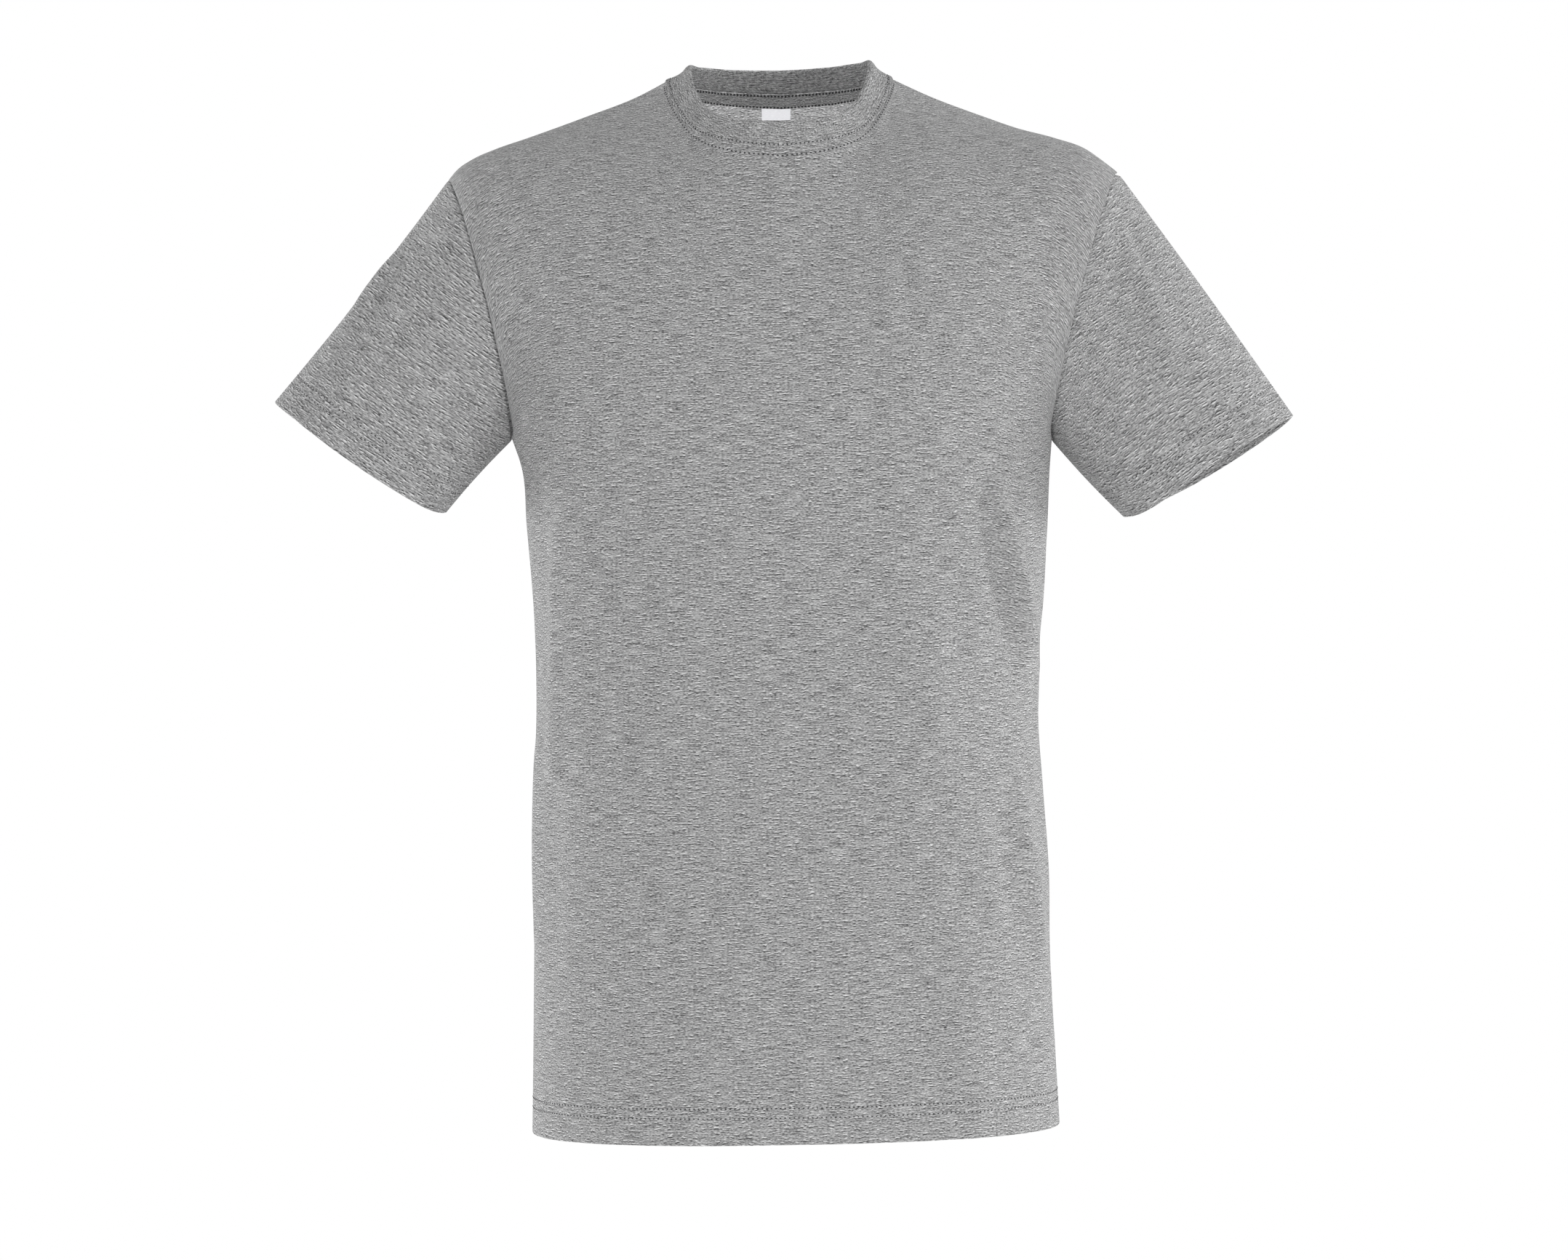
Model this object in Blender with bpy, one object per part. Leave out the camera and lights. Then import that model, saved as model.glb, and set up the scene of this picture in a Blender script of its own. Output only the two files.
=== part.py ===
"""Crew neck t-shirt, adult medium, hollow and filled out as if worn.

Lengths in the tables are millimetres, and the model is in metres with +Z up.
The front faces -Y. Left and right are the viewer's, looking at the front along +Y.
The origin is at shoulder height in the middle of the neck.
Each cut piece is a thin wall. A piece is a grid of points on its outer side, and the
wall goes inwards from there. Pieces that meet share their seam points.
"""

import math

import bpy
import numpy as np

MM = 0.001
FRONT = -1
BACK = 1
LEFT = -1
RIGHT = 1

WALL = 1.5
HEM_WALL = 2.2
COLLAR_WALL = 2.0
SEAM_GAP = 0.3
# At a corner between two pieces the wall is mitred, up to this cosine of half the corner's turn.
LEAST_MITRE = 0.75

# Cells in each grid. The armpit, the shoulder tip and the neck point are all grid corners.
HALF_COLUMNS = 18
SHOULDER_COLUMNS = 10
BODY_ROWS = 14
ARMHOLE_ROWS = 12
SLEEVE_ROWS = 8
COLLAR_ROWS = 4
FINE_STEPS = 160

# Level sections of the body, from hem to armpit. left, right, front and back are reaches from
# the origin's vertical line, and rise is how much higher the section is at right than at left.
BODY_COLUMNS = ("height", "left", "right", "front", "back", "rise")
BODY_SECTIONS = (
    (-708.2, 168.6, 187.8, 127.0, 122.0, 6.2),
    (-655.0, 168.0, 184.6, 126.0, 121.0, 4.8),
    (-596.0, 167.5, 180.6, 124.0, 119.0, 3.5),
    (-537.0, 167.0, 180.5, 122.0, 116.0, 2.0),
    (-478.0, 167.0, 176.5, 120.0, 112.0, 0.0),
    (-418.0, 166.0, 172.6, 119.0, 109.0, 0.0),
    (-360.0, 167.8, 174.9, 119.0, 110.0, 0.0),
    (-300.0, 172.8, 179.6, 121.0, 114.0, 0.0),
    (-262.0, 176.2, 181.2, 122.0, 116.0, 0.0),
    (-243.0, 182.6, 182.6, 122.0, 117.0, 0.0),
)
SQUARENESS = 2.4

# The top of each shoulder, from the tip to the neck.
SHOULDER_LINES = {
    LEFT: ((226.0, -68.0), (220.7, -61.6), (210.0, -54.0), (194.0, -46.8), (173.0, -39.4),
           (133.5, -24.6), (96.5, -9.9), (76.0, -0.5)),
    RIGHT: ((227.5, -62.5), (216.7, -54.2), (206.4, -47.0), (185.7, -39.4), (158.6, -32.0),
            (138.0, -24.6), (99.5, -9.9), (75.0, 1.5)),
}
SHOULDER_TIP_Y = 0.0

# The neck seam and the collar's top edge. angle is in degrees from the front centre.
NECK_COLUMNS = ("angle", "seam_height", "top_height")
NECK_STATIONS = (
    (0.0, -54.5, -34.8),
    (25.0, -50.2, -32.6),
    (50.0, -38.5, -22.8),
    (70.0, -17.5, -6.0),
    (90.0, 0.5, 10.8),
    (120.0, -2.0, 13.0),
    (150.0, -4.8, 12.2),
    (180.0, -6.0, 11.6),
)
NECK_SEAM = {"left": 76.0, "right": 75.0, "front": -87.0, "side": 4.0, "back": 68.0}
NECK_TOP = {"left": 62.5, "right": 59.5, "front": -82.0, "side": 6.0, "back": 62.0}
SEAM_SQUARENESS = 2.0
TOP_SQUARENESS = 2.35
SEAM_TILT = 0.013
TOP_TILT = 0.028
COLLAR_SAG = 2.2

ARMHOLE_REACH = {FRONT: 62.0, BACK: 60.0}
ARMHOLE_BOW = 8.0
ARMPIT_DIP = {"depth": 20.0, "columns": 2.0, "steepness": 1.5}
SHOULDER_ROUNDNESS = 0.9
# The cloth beside each neck point is evened out over this many cells, in this many passes.
NECK_EASE = {"cells": 4.0, "passes": 14}

# Sleeves: the upper and lower ends of the cuff's oval as (x, z), its depth, how far its front
# and back reach along the sleeve beyond the line between those ends, and how far the sleeve's
# top and underarm lines bow out from straight.
SLEEVES = {
    LEFT: {"upper": (-342.9, -218.2), "lower": (-228.5, -294.6), "depth": 98.0, "y": -3.0,
           "front_drop": 3.0, "back_drop": 0.0, "top_bow": -3.0, "under_bow": -1.5},
    RIGHT: {"upper": (346.0, -227.6), "lower": (233.8, -296.4), "depth": 98.0, "y": -3.0,
            "front_drop": -1.0, "back_drop": 6.0, "top_bow": 1.5, "under_bow": 1.5},
}
CUFF_SQUARENESS = 2.15

# Largest folds. Each runs from (x0, z0) to (x1, z1) in the front view, reach is its half width
# and height is positive for a ridge.
FOLD_COLUMNS = ("x0", "z0", "x1", "z1", "reach", "height")
FRONT_FOLDS = (
    (-158.0, -292.0, -156.0, -440.0, 10.0, -5.0),
    (-141.0, -300.0, -146.0, -470.0, 16.0, 3.5),
    (128.0, -250.0, 154.0, -316.0, 14.0, -5.0),
    (148.0, -262.0, 168.0, -350.0, 15.0, 4.0),
    (158.0, -330.0, 166.0, -430.0, 14.0, 4.0),
    (150.0, -480.0, 168.0, -640.0, 20.0, 3.0),
    (-120.0, -560.0, -128.0, -700.0, 26.0, -3.0),
)
BACK_FOLDS = (
    (-136.0, -262.0, -146.0, -400.0, 15.0, -5.0),
    (-112.0, -280.0, -118.0, -470.0, 18.0, 4.0),
    (60.0, -330.0, 72.0, -640.0, 22.0, -4.5),
    (-40.0, -380.0, -58.0, -690.0, 24.0, -4.0),
    (8.0, -360.0, 6.0, -600.0, 22.0, 4.0),
    (138.0, -258.0, 150.0, -420.0, 16.0, -5.0),
    (118.0, -480.0, 128.0, -700.0, 24.0, 4.0),
)
# The folds of a panel die away over this distance from the plane of the side seams.
FOLD_FADE = 26.0
# Each fold's ends keep this share of half a wave, so that they are low but not cut off.
FOLD_END = 0.12

# Sleeve folds run from (around, along) to (around, along), as fractions: around is 0 under the
# arm, a quarter at the front and a half on top, and along is 0 at the armhole.
SLEEVE_FOLD_COLUMNS = ("around0", "along0", "around1", "along1", "reach", "height")
SLEEVE_FOLDS = {
    LEFT: ((0.46, 0.28, 0.44, 0.62, 0.03, 2.5),
           (0.10, 0.05, 0.17, 0.75, 0.045, -4.0),
           (0.88, 0.05, 0.82, 0.70, 0.045, -4.0)),
    RIGHT: ((0.11, 0.02, 0.19, 0.80, 0.05, -5.0),
            (0.34, 0.05, 0.30, 0.42, 0.04, -3.5),
            (0.88, 0.05, 0.80, 0.75, 0.045, -4.0)),
}

# A sleeve's length over its girth, which makes a fold's reach the same both ways, and how
# quickly the folds grow from the armhole.
SLEEVE_STRETCH = 0.25
SLEEVE_FOLD_GROWTH = 4.0

# The tape lies inside the back just under the neck seam. It stops short of the neck points by
# this many cells.
TAPE = {"top": 1.0, "width": 9.0, "thick": 1.0, "end_cells": 0.25}
LABEL = {"left": -14.0, "right": 6.0, "length": 12.0, "thick": 1.0, "gap": 0.5}
LABEL_CELLS = {"across": 4, "down": 3}
LIFT_FROM_BACK = 0.45

JERSEY_GREY = (0.33, 0.33, 0.335)
RIB_GREY = (0.31, 0.31, 0.315)
TAPE_GREY = (0.20, 0.20, 0.205)
LABEL_WHITE = (0.88, 0.88, 0.90)
CLOTH_ROUGHNESS = 0.95
SATIN_ROUGHNESS = 0.45
SHARP_DEGREES = 50.0


def named(table, columns):
    """The columns of a table as arrays, by name."""
    return dict(zip(columns, np.array(table, float).T))


def smooth(at, knots, values):
    """A curve through values at rising knots, with a slope at each knot from its neighbours."""
    knots = np.asarray(knots, float)
    values = np.asarray(values, float)
    slopes = np.gradient(values, knots, axis=0)
    i = np.clip(np.searchsorted(knots, at) - 1, 0, len(knots) - 2)
    span = knots[i + 1] - knots[i]
    f = (at - knots[i]) / span
    if values.ndim > 1:
        f = f[:, None]
        span = span[:, None]
    return (values[i] * (1 + 2 * f) * (1 - f) ** 2 + slopes[i] * span * f * (1 - f) ** 2
            + values[i + 1] * f * f * (3 - 2 * f) - slopes[i + 1] * span * f * f * (1 - f))


def run_along(points):
    """The length of a line up to each of its points."""
    steps = np.linalg.norm(np.diff(points, axis=0), axis=1)
    return np.concatenate([[0.0], np.cumsum(steps)])


def points_at(points, run, at):
    return np.stack([np.interp(at, run, points[:, k]) for k in range(3)], axis=1)


def evenly(points, cells):
    """Points at even steps along the line through these ones."""
    run = run_along(points)
    return points_at(points, run, np.linspace(0.0, run[-1], cells + 1))


def power(value, exponent):
    return np.sign(value) * np.abs(value) ** exponent


def body_section(height, facing):
    """Half a section of the body, from the left seam to the right seam."""
    table = named(BODY_SECTIONS, BODY_COLUMNS)
    at = np.array([height])
    size = {name: float(smooth(at, table["height"], table[name])[0]) for name in BODY_COLUMNS[1:]}
    depth = size["front"] if facing == FRONT else size["back"]
    halves = []
    for side, reach in ((LEFT, size["left"]), (RIGHT, size["right"])):
        angle = np.linspace(0.0, math.pi / 2, FINE_STEPS)
        x = side * reach * power(np.sin(angle), 2 / SQUARENESS)
        y = facing * depth * power(np.cos(angle), 2 / SQUARENESS)
        z = height + size["rise"] * x / (size["left"] + size["right"])
        halves.append(evenly(np.stack([x, y, z], axis=1), HALF_COLUMNS))
    return np.concatenate([halves[0][::-1], halves[1][1:]])


def neck_point(angle, size, heights, squareness, tilt):
    """A point of the neck at an angle in degrees from the front centre, positive to the right."""
    turn = math.radians(angle)
    side = size["right"] if turn > 0 else size["left"]
    x = side * power(math.sin(turn), 2 / squareness)
    forward = power(math.cos(turn), 2 / squareness)
    reach = size["side"] - size["front"] if forward > 0 else size["back"] - size["side"]
    table = named(NECK_STATIONS, NECK_COLUMNS)
    z = smooth(np.array([abs(angle)]), table["angle"], table[heights])[0]
    return np.array([x, size["side"] - reach * forward, z + tilt * x])


def neckline(facing, size, heights, squareness, tilt):
    """The neck from its left point to its right point, over the front or the back."""
    cells = 2 * (HALF_COLUMNS - SHOULDER_COLUMNS)
    across = np.linspace(-90.0, 90.0, cells + 1)
    if facing == BACK:
        across = np.where(across < 0, -180.0 - across, 180.0 - across)
    return np.array([neck_point(a, size, heights, squareness, tilt) for a in across])


def neck_seam(facing):
    return neckline(facing, NECK_SEAM, "seam_height", SEAM_SQUARENESS, SEAM_TILT)


def shoulder_seam(side):
    """From the shoulder's tip to the neck point."""
    line = np.array(SHOULDER_LINES[side])
    across = np.linspace(line[-1, 0], line[0, 0], FINE_STEPS)
    height = smooth(across, line[::-1, 0], line[::-1, 1])
    depth = np.linspace(NECK_SEAM["side"], SHOULDER_TIP_Y, FINE_STEPS)
    return evenly(np.stack([side * across, depth, height], axis=1)[::-1], SHOULDER_COLUMNS)


def top_edge(facing):
    """Left shoulder seam, neckline and right shoulder seam."""
    left = shoulder_seam(LEFT)
    right = shoulder_seam(RIGHT)[::-1]
    seam = neck_seam(facing)
    seam[0] = left[-1]
    seam[-1] = right[0]
    return np.concatenate([left, seam[1:-1], right])


def armhole(armpit, tip, side, facing, t):
    """The armhole seam from the armpit to the shoulder's tip."""
    turn = np.sin(math.pi * t)
    rise = (1 - np.cos(math.pi * t)) / 2
    line = armpit + (tip - armpit) * rise[:, None]
    line[:, 0] -= side * ARMHOLE_BOW * turn
    line[:, 1] += facing * ARMHOLE_REACH[facing] * turn
    return line


def chest(facing):
    """The panel above the armpits: it rises from a level section and rounds over each shoulder.

    roundness is 1 under the shoulder seams, where the cloth turns level at the top, and 0 at the
    neck's centre. hold is the share of each column that keeps to the body and not to the armhole.
    """
    base = body_section(BODY_SECTIONS[-1][0], facing)
    top = top_edge(facing)
    hold = (base[:, 1] / base[HALF_COLUMNS, 1])[:, None]
    from_centre = np.arange(2 * HALF_COLUMNS + 1) - HALF_COLUMNS
    ease = np.clip(np.abs(from_centre) / (HALF_COLUMNS - SHOULDER_COLUMNS), 0.0, 1.0)
    roundness = (ease * ease * (3 - 2 * ease))[:, None]
    t = np.linspace(0.0, 1.0, FINE_STEPS)
    edges = [armhole(base[0], top[0], LEFT, facing, t), armhole(base[-1], top[-1], RIGHT, facing, t)]
    quarter = t * math.pi / 2
    rise = (1 - roundness) * t + roundness * np.sin(quarter)
    keep = (1 - roundness) * (1 - t * t) + roundness * np.cos(quarter) ** SHOULDER_ROUNDNESS
    drift = t * t * (3 - 2 * t)
    loft = np.stack([
        base[:, :1] + (top[:, :1] - base[:, :1]) * drift,
        top[:, 1:2] + (base[:, 1:2] - top[:, 1:2]) * keep,
        base[:, 2:] + (top[:, 2:] - base[:, 2:]) * rise,
    ], axis=2)
    side_rise = np.sin(quarter)
    way = np.stack([drift, side_rise, side_rise], axis=1)
    for column in range(2 * HALF_COLUMNS + 1):
        end = 0 if column <= HALF_COLUMNS else -1
        plain = base[end] + (top[end] - base[end]) * way
        loft[column] += (1 - hold[column]) * (edges[end] - plain)
    return loft


def panel_rows(facing):
    """Rows of points from the hem to the top edge, at even steps along each column.

    The row through the armpits dips beside them, so that it leaves each armpit between the side
    seam and the armhole.
    """
    levels = np.linspace(BODY_SECTIONS[0][0], BODY_SECTIONS[-1][0], FINE_STEPS)
    body = np.stack([body_section(level, facing) for level in levels], axis=1)
    columns = []
    for column, (low, high) in enumerate(zip(body, chest(facing))):
        line = np.concatenate([low, high[1:]])
        run = run_along(line)
        from_side = min(column, 2 * HALF_COLUMNS - column)
        away = (from_side / ARMPIT_DIP["columns"]) ** ARMPIT_DIP["steepness"]
        mark = run[FINE_STEPS - 1] - ARMPIT_DIP["depth"] * (1 - math.exp(-away))
        below = np.linspace(0.0, mark, BODY_ROWS + 1)
        above = np.linspace(mark, run[-1], ARMHOLE_ROWS + 1)[1:]
        columns.append(points_at(line, run, np.concatenate([below, above])))
    return np.stack(columns, axis=1)


def eased_at_neck(grid):
    """The grid with each point beside a neck point moved towards the middle of its neighbours."""
    rows, columns = np.indices(grid.shape[:2])
    from_side = np.minimum(columns, grid.shape[1] - 1 - columns)
    away = np.hypot(grid.shape[0] - 1 - rows, from_side - SHOULDER_COLUMNS)
    pull = np.exp(-((away / NECK_EASE["cells"]) ** 2))[1:-1, 1:-1, None]
    for _ in range(NECK_EASE["passes"]):
        middle = (grid[:-2, 1:-1] + grid[2:, 1:-1] + grid[1:-1, :-2] + grid[1:-1, 2:]) / 4
        grid[1:-1, 1:-1] += pull * (middle - grid[1:-1, 1:-1])
    return grid


def fold_lift(points, folds, columns, fade):
    """How far the folds move each point out, from its place in the folds' own plane."""
    lift = np.zeros(points.shape[:-1])
    for row in folds:
        fold = dict(zip(columns, row))
        names = columns[:4]
        start = np.array([fold[names[0]], fold[names[1]]])
        run = np.array([fold[names[2]], fold[names[3]]]) - start
        along = np.clip(((points - start) @ run) / (run @ run), 0.0, 1.0)
        away = np.linalg.norm(points - start - along[..., None] * run, axis=-1)
        taper = np.sin(math.pi * (FOLD_END + (1 - 2 * FOLD_END) * along))
        lift += fold["height"] * taper * np.exp(-((away / fold["reach"]) ** 2))
    return lift * fade


def cell_normals(grid, closed):
    """The normal of each cell, as long as the cell is large."""
    if closed:
        grid = np.concatenate([grid, grid[:, :1]], axis=1)
    across = grid[1:, 1:] - grid[:-1, :-1]
    down = grid[1:, :-1] - grid[:-1, 1:]
    return np.cross(across, down) / 2


def point_normals(grid, closed):
    cells = cell_normals(grid, closed)
    normal = np.zeros(grid.shape)
    width = grid.shape[1]
    for down in (0, 1):
        for over in (0, 1):
            rows = slice(down, down + cells.shape[0])
            columns = (np.arange(cells.shape[1]) + over) % width
            normal[rows, columns] += cells
    return normal


def unit(vectors):
    return vectors / np.linalg.norm(vectors, axis=-1, keepdims=True)


def panel(facing):
    """Outer points of the front or the back, one row for each level, with its folds."""
    grid = eased_at_neck(panel_rows(facing))
    if facing == BACK:
        grid = grid[:, ::-1]
    folds = FRONT_FOLDS if facing == FRONT else BACK_FOLDS
    fade = np.clip(np.abs(grid[..., 1]) / FOLD_FADE, 0.0, 1.0) ** 2
    lift = fold_lift(grid[..., [0, 2]], folds, FOLD_COLUMNS, fade)
    return grid + unit(point_normals(grid, False)) * lift[..., None]


def cuff(side, count):
    """The sleeve's open end, from the underarm round the front and over the top."""
    size = SLEEVES[side]
    upper = np.array([size["upper"][0], size["y"], size["upper"][1]])
    lower = np.array([size["lower"][0], size["y"], size["lower"][1]])
    middle = (upper + lower) / 2
    half = (upper - lower) / 2
    along = unit(np.cross(half, np.array([0.0, -side, 0.0])))
    turn = np.linspace(0.0, 2 * math.pi, count, endpoint=False)[:, None]
    forward = power(np.sin(turn), 2 / CUFF_SQUARENESS)
    ring = middle - half * power(np.cos(turn), 2 / CUFF_SQUARENESS)
    ring = ring - np.array([0.0, size["depth"] / 2, 0.0]) * forward
    drop = np.where(forward > 0, size["front_drop"], size["back_drop"]) * np.abs(forward)
    return ring + along * drop


def sleeve(side, front, back):
    """Rings from the armhole to the cuff. The first ring is the panels' own armhole points."""
    front_column = 0 if side == LEFT else -1
    back_column = -1 if side == LEFT else 0
    up = front[BODY_ROWS:, front_column]
    down = back[BODY_ROWS:, back_column][::-1]
    loop = np.concatenate([up, down[1:-1]])
    end = cuff(side, len(loop))
    turn = np.linspace(0.0, 2 * math.pi, len(loop), endpoint=False)
    share = np.linspace(0.0, 1.0, SLEEVE_ROWS + 1)[:, None, None]
    grid = loop + (end - loop) * share
    under = np.clip(np.cos(turn), 0.0, 1.0) ** 2
    over = np.clip(-np.cos(turn), 0.0, 1.0) ** 2
    size = SLEEVES[side]
    bow = (size["top_bow"] * over - size["under_bow"] * under) * np.sin(math.pi * share[..., 0])
    grid[..., 2] += bow
    around = np.broadcast_to(turn / (2 * math.pi), grid.shape[:2])
    along = np.broadcast_to(share[..., 0], grid.shape[:2])
    place = np.stack([around, along * SLEEVE_STRETCH], axis=2)
    folds = [(a0, l0 * SLEEVE_STRETCH, a1, l1 * SLEEVE_STRETCH, reach, height)
             for a0, l0, a1, l1, reach, height in SLEEVE_FOLDS[side]]
    fade = np.clip(along * SLEEVE_FOLD_GROWTH, 0.0, 1.0)
    lift = fold_lift(place, folds, SLEEVE_FOLD_COLUMNS, fade)
    out = unit(point_normals(grid, True)) * (-side)
    grid = grid + out * lift[..., None]
    if side == RIGHT:
        grid = np.concatenate([grid[:, :1], grid[:, :0:-1]], axis=1)
    return grid


def collar(front, back):
    """Rings from the neck seam up to the folded top edge, leaning in."""
    seam_columns = slice(SHOULDER_COLUMNS, 2 * HALF_COLUMNS - SHOULDER_COLUMNS + 1)
    seam = np.concatenate([front[-1, seam_columns], back[-1, seam_columns][1:-1]])
    tops = [neckline(facing, NECK_TOP, "top_height", TOP_SQUARENESS, TOP_TILT)
            for facing in (FRONT, BACK)]
    top = np.concatenate([tops[0], tops[1][::-1][1:-1]])
    share = np.linspace(0.0, 1.0, COLLAR_ROWS + 1)[:, None, None]
    grid = seam + (top - seam) * share
    level = np.abs(unit(top - seam)[:, 0])
    grid[..., 2] -= COLLAR_SAG * level * np.sin(math.pi * share[..., 0])
    return grid


def shared_insets(grids):
    """For each grid, the way through its wall at each point, the same on both sides of a seam.

    Front and back count as one body, which weighs as much as the sleeve or collar that meets it.
    """
    body, total = {}, {}
    for grid, closed in grids.values():
        sums = total if closed else body
        for key, normal in zip(point_keys(grid), unit(point_normals(grid, closed)).reshape(-1, 3)):
            sums[key] = sums.get(key, 0.0) + normal
    for key, normal in body.items():
        total[key] = total.get(key, 0.0) + unit(normal)
    insets = {}
    for name, (grid, closed) in grids.items():
        shared = unit(np.array([total[key] for key in point_keys(grid)])).reshape(grid.shape)
        own = unit(point_normals(grid, closed))
        lean = (shared * own).sum(axis=-1, keepdims=True)
        insets[name] = -shared / np.clip(lean, LEAST_MITRE, 1.0)
    return insets


def point_keys(grid):
    return [tuple(point) for point in np.round(grid.reshape(-1, 3), 4)]


def seam_shift(line, inward, inset, closed):
    """How the points of a sewn edge move back, square to the seam and to the way through it."""
    if closed:
        run = np.roll(line, -1, axis=0) - np.roll(line, 1, axis=0)
    else:
        run = np.gradient(line, axis=0)
    across = unit(np.cross(run, inset))
    return across * np.sign((across * inward).sum(axis=-1, keepdims=True)) * SEAM_GAP / 2


def panel_shift(grid, inset):
    """The seam shifts of the front or the back: side seams, armholes, shoulders and neckline."""
    shift = np.zeros(grid.shape)
    neck_end = 2 * HALF_COLUMNS - SHOULDER_COLUMNS
    for edge, inner in ((0, 1), (-1, -2)):
        for rows in (slice(0, BODY_ROWS + 1), slice(BODY_ROWS, None)):
            line = grid[rows, edge]
            shift[rows, edge] += seam_shift(line, grid[rows, inner] - line, inset[rows, edge], False)
    for columns in (slice(0, SHOULDER_COLUMNS + 1), slice(SHOULDER_COLUMNS, neck_end + 1),
                    slice(neck_end, None)):
        line = grid[-1, columns]
        inward = grid[-2, columns] - line
        shift[-1, columns] += seam_shift(line, inward, inset[-1, columns], False)
    return shift


def ring_shift(grid, inset):
    """The seam shift of a sleeve or the collar, at its first ring."""
    shift = np.zeros(grid.shape)
    shift[0] = seam_shift(grid[0], grid[1] - grid[0], inset[0], True)
    return shift


def wall_cells(rows, columns, closed):
    """Cells of a wall whose outer points come first, then its inner points."""
    points = np.arange(2 * rows * columns).reshape(2, rows, columns)
    if closed:
        points = np.concatenate([points, points[:, :, :1]], axis=2)
    outer, inner = points
    rims = [(outer[0], inner[0]), (inner[-1], outer[-1])]
    if not closed:
        rims += [(inner[:, 0], outer[:, 0]), (outer[:, -1], inner[:, -1])]
    cells = [(outer[:-1, :-1], outer[:-1, 1:], outer[1:, 1:], outer[1:, :-1]),
             (inner[:-1, :-1], inner[1:, :-1], inner[1:, 1:], inner[:-1, 1:])]
    cells += [(low[1:], low[:-1], high[:-1], high[1:]) for low, high in rims]
    return np.concatenate([np.stack([corner.ravel() for corner in cell], axis=1) for cell in cells])


def split_cells(points, cells):
    """Two triangles for each cell, split along its shorter diagonal."""
    a, b, c, d = cells.T
    first = np.linalg.norm(points[a] - points[c], axis=1)
    second = np.linalg.norm(points[b] - points[d], axis=1)
    even = (first <= second)[:, None]
    left = np.where(even, np.stack([a, b, c], axis=1), np.stack([a, b, d], axis=1))
    right = np.where(even, np.stack([a, c, d], axis=1), np.stack([b, c, d], axis=1))
    return np.concatenate([left, right]).tolist()


def add_piece(name, outer, inner, closed, material, collection):
    """One closed wall between two grids of points in millimetres."""
    rows, columns = outer.shape[:2]
    points = np.concatenate([outer.reshape(-1, 3), inner.reshape(-1, 3)]) * MM
    mesh = bpy.data.meshes.new(name)
    cells = wall_cells(rows, columns, closed)
    mesh.from_pydata(points.tolist(), [], split_cells(points, cells))
    mesh.materials.append(material)
    mesh.shade_smooth()
    mesh.set_sharp_from_angle(angle=math.radians(SHARP_DEGREES))
    collection.objects.link(bpy.data.objects.new(name, mesh))


def cloth(name, colour, roughness):
    material = bpy.data.materials.new(name)
    material.use_nodes = True
    shader = material.node_tree.nodes["Principled BSDF"]
    shader.inputs["Base Color"].default_value = (*colour, 1.0)
    shader.inputs["Roughness"].default_value = roughness
    shader.inputs["Metallic"].default_value = 0.0
    return material


def on_grid(grid, row, column):
    """The point at a fractional row and column of a grid."""
    r = min(int(row), grid.shape[0] - 2)
    c = min(int(column), grid.shape[1] - 2)
    f, g = row - r, column - c
    low = grid[r, c] * (1 - g) + grid[r, c + 1] * g
    high = grid[r + 1, c] * (1 - g) + grid[r + 1, c + 1] * g
    return low * (1 - f) + high * f


def below_neck(grid, column, distance):
    """The point of the back's inner side this far under the neck seam."""
    line = np.array([on_grid(grid, row, column) for row in range(BODY_ROWS, grid.shape[0])])[::-1]
    return points_at(line, run_along(line), [distance])[0]


def strip_on_back(inner, columns, distances, thick):
    """A strip that lies on the inside of the back, as an outer grid and an inner grid."""
    base = np.array([[below_neck(inner, c, d) for c in columns] for d in distances])
    way = -unit(point_normals(base, False))
    near = base + way * LIFT_FROM_BACK
    return near, near + way * thick


def column_at(inner, x, distance):
    """The fractional column of the back whose point this far under the neck seam has this x."""
    columns = np.linspace(SHOULDER_COLUMNS, 2 * HALF_COLUMNS - SHOULDER_COLUMNS, FINE_STEPS)
    places = np.array([below_neck(inner, c, distance)[0] for c in columns])
    return float(np.interp(-x, -places, columns))


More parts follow.
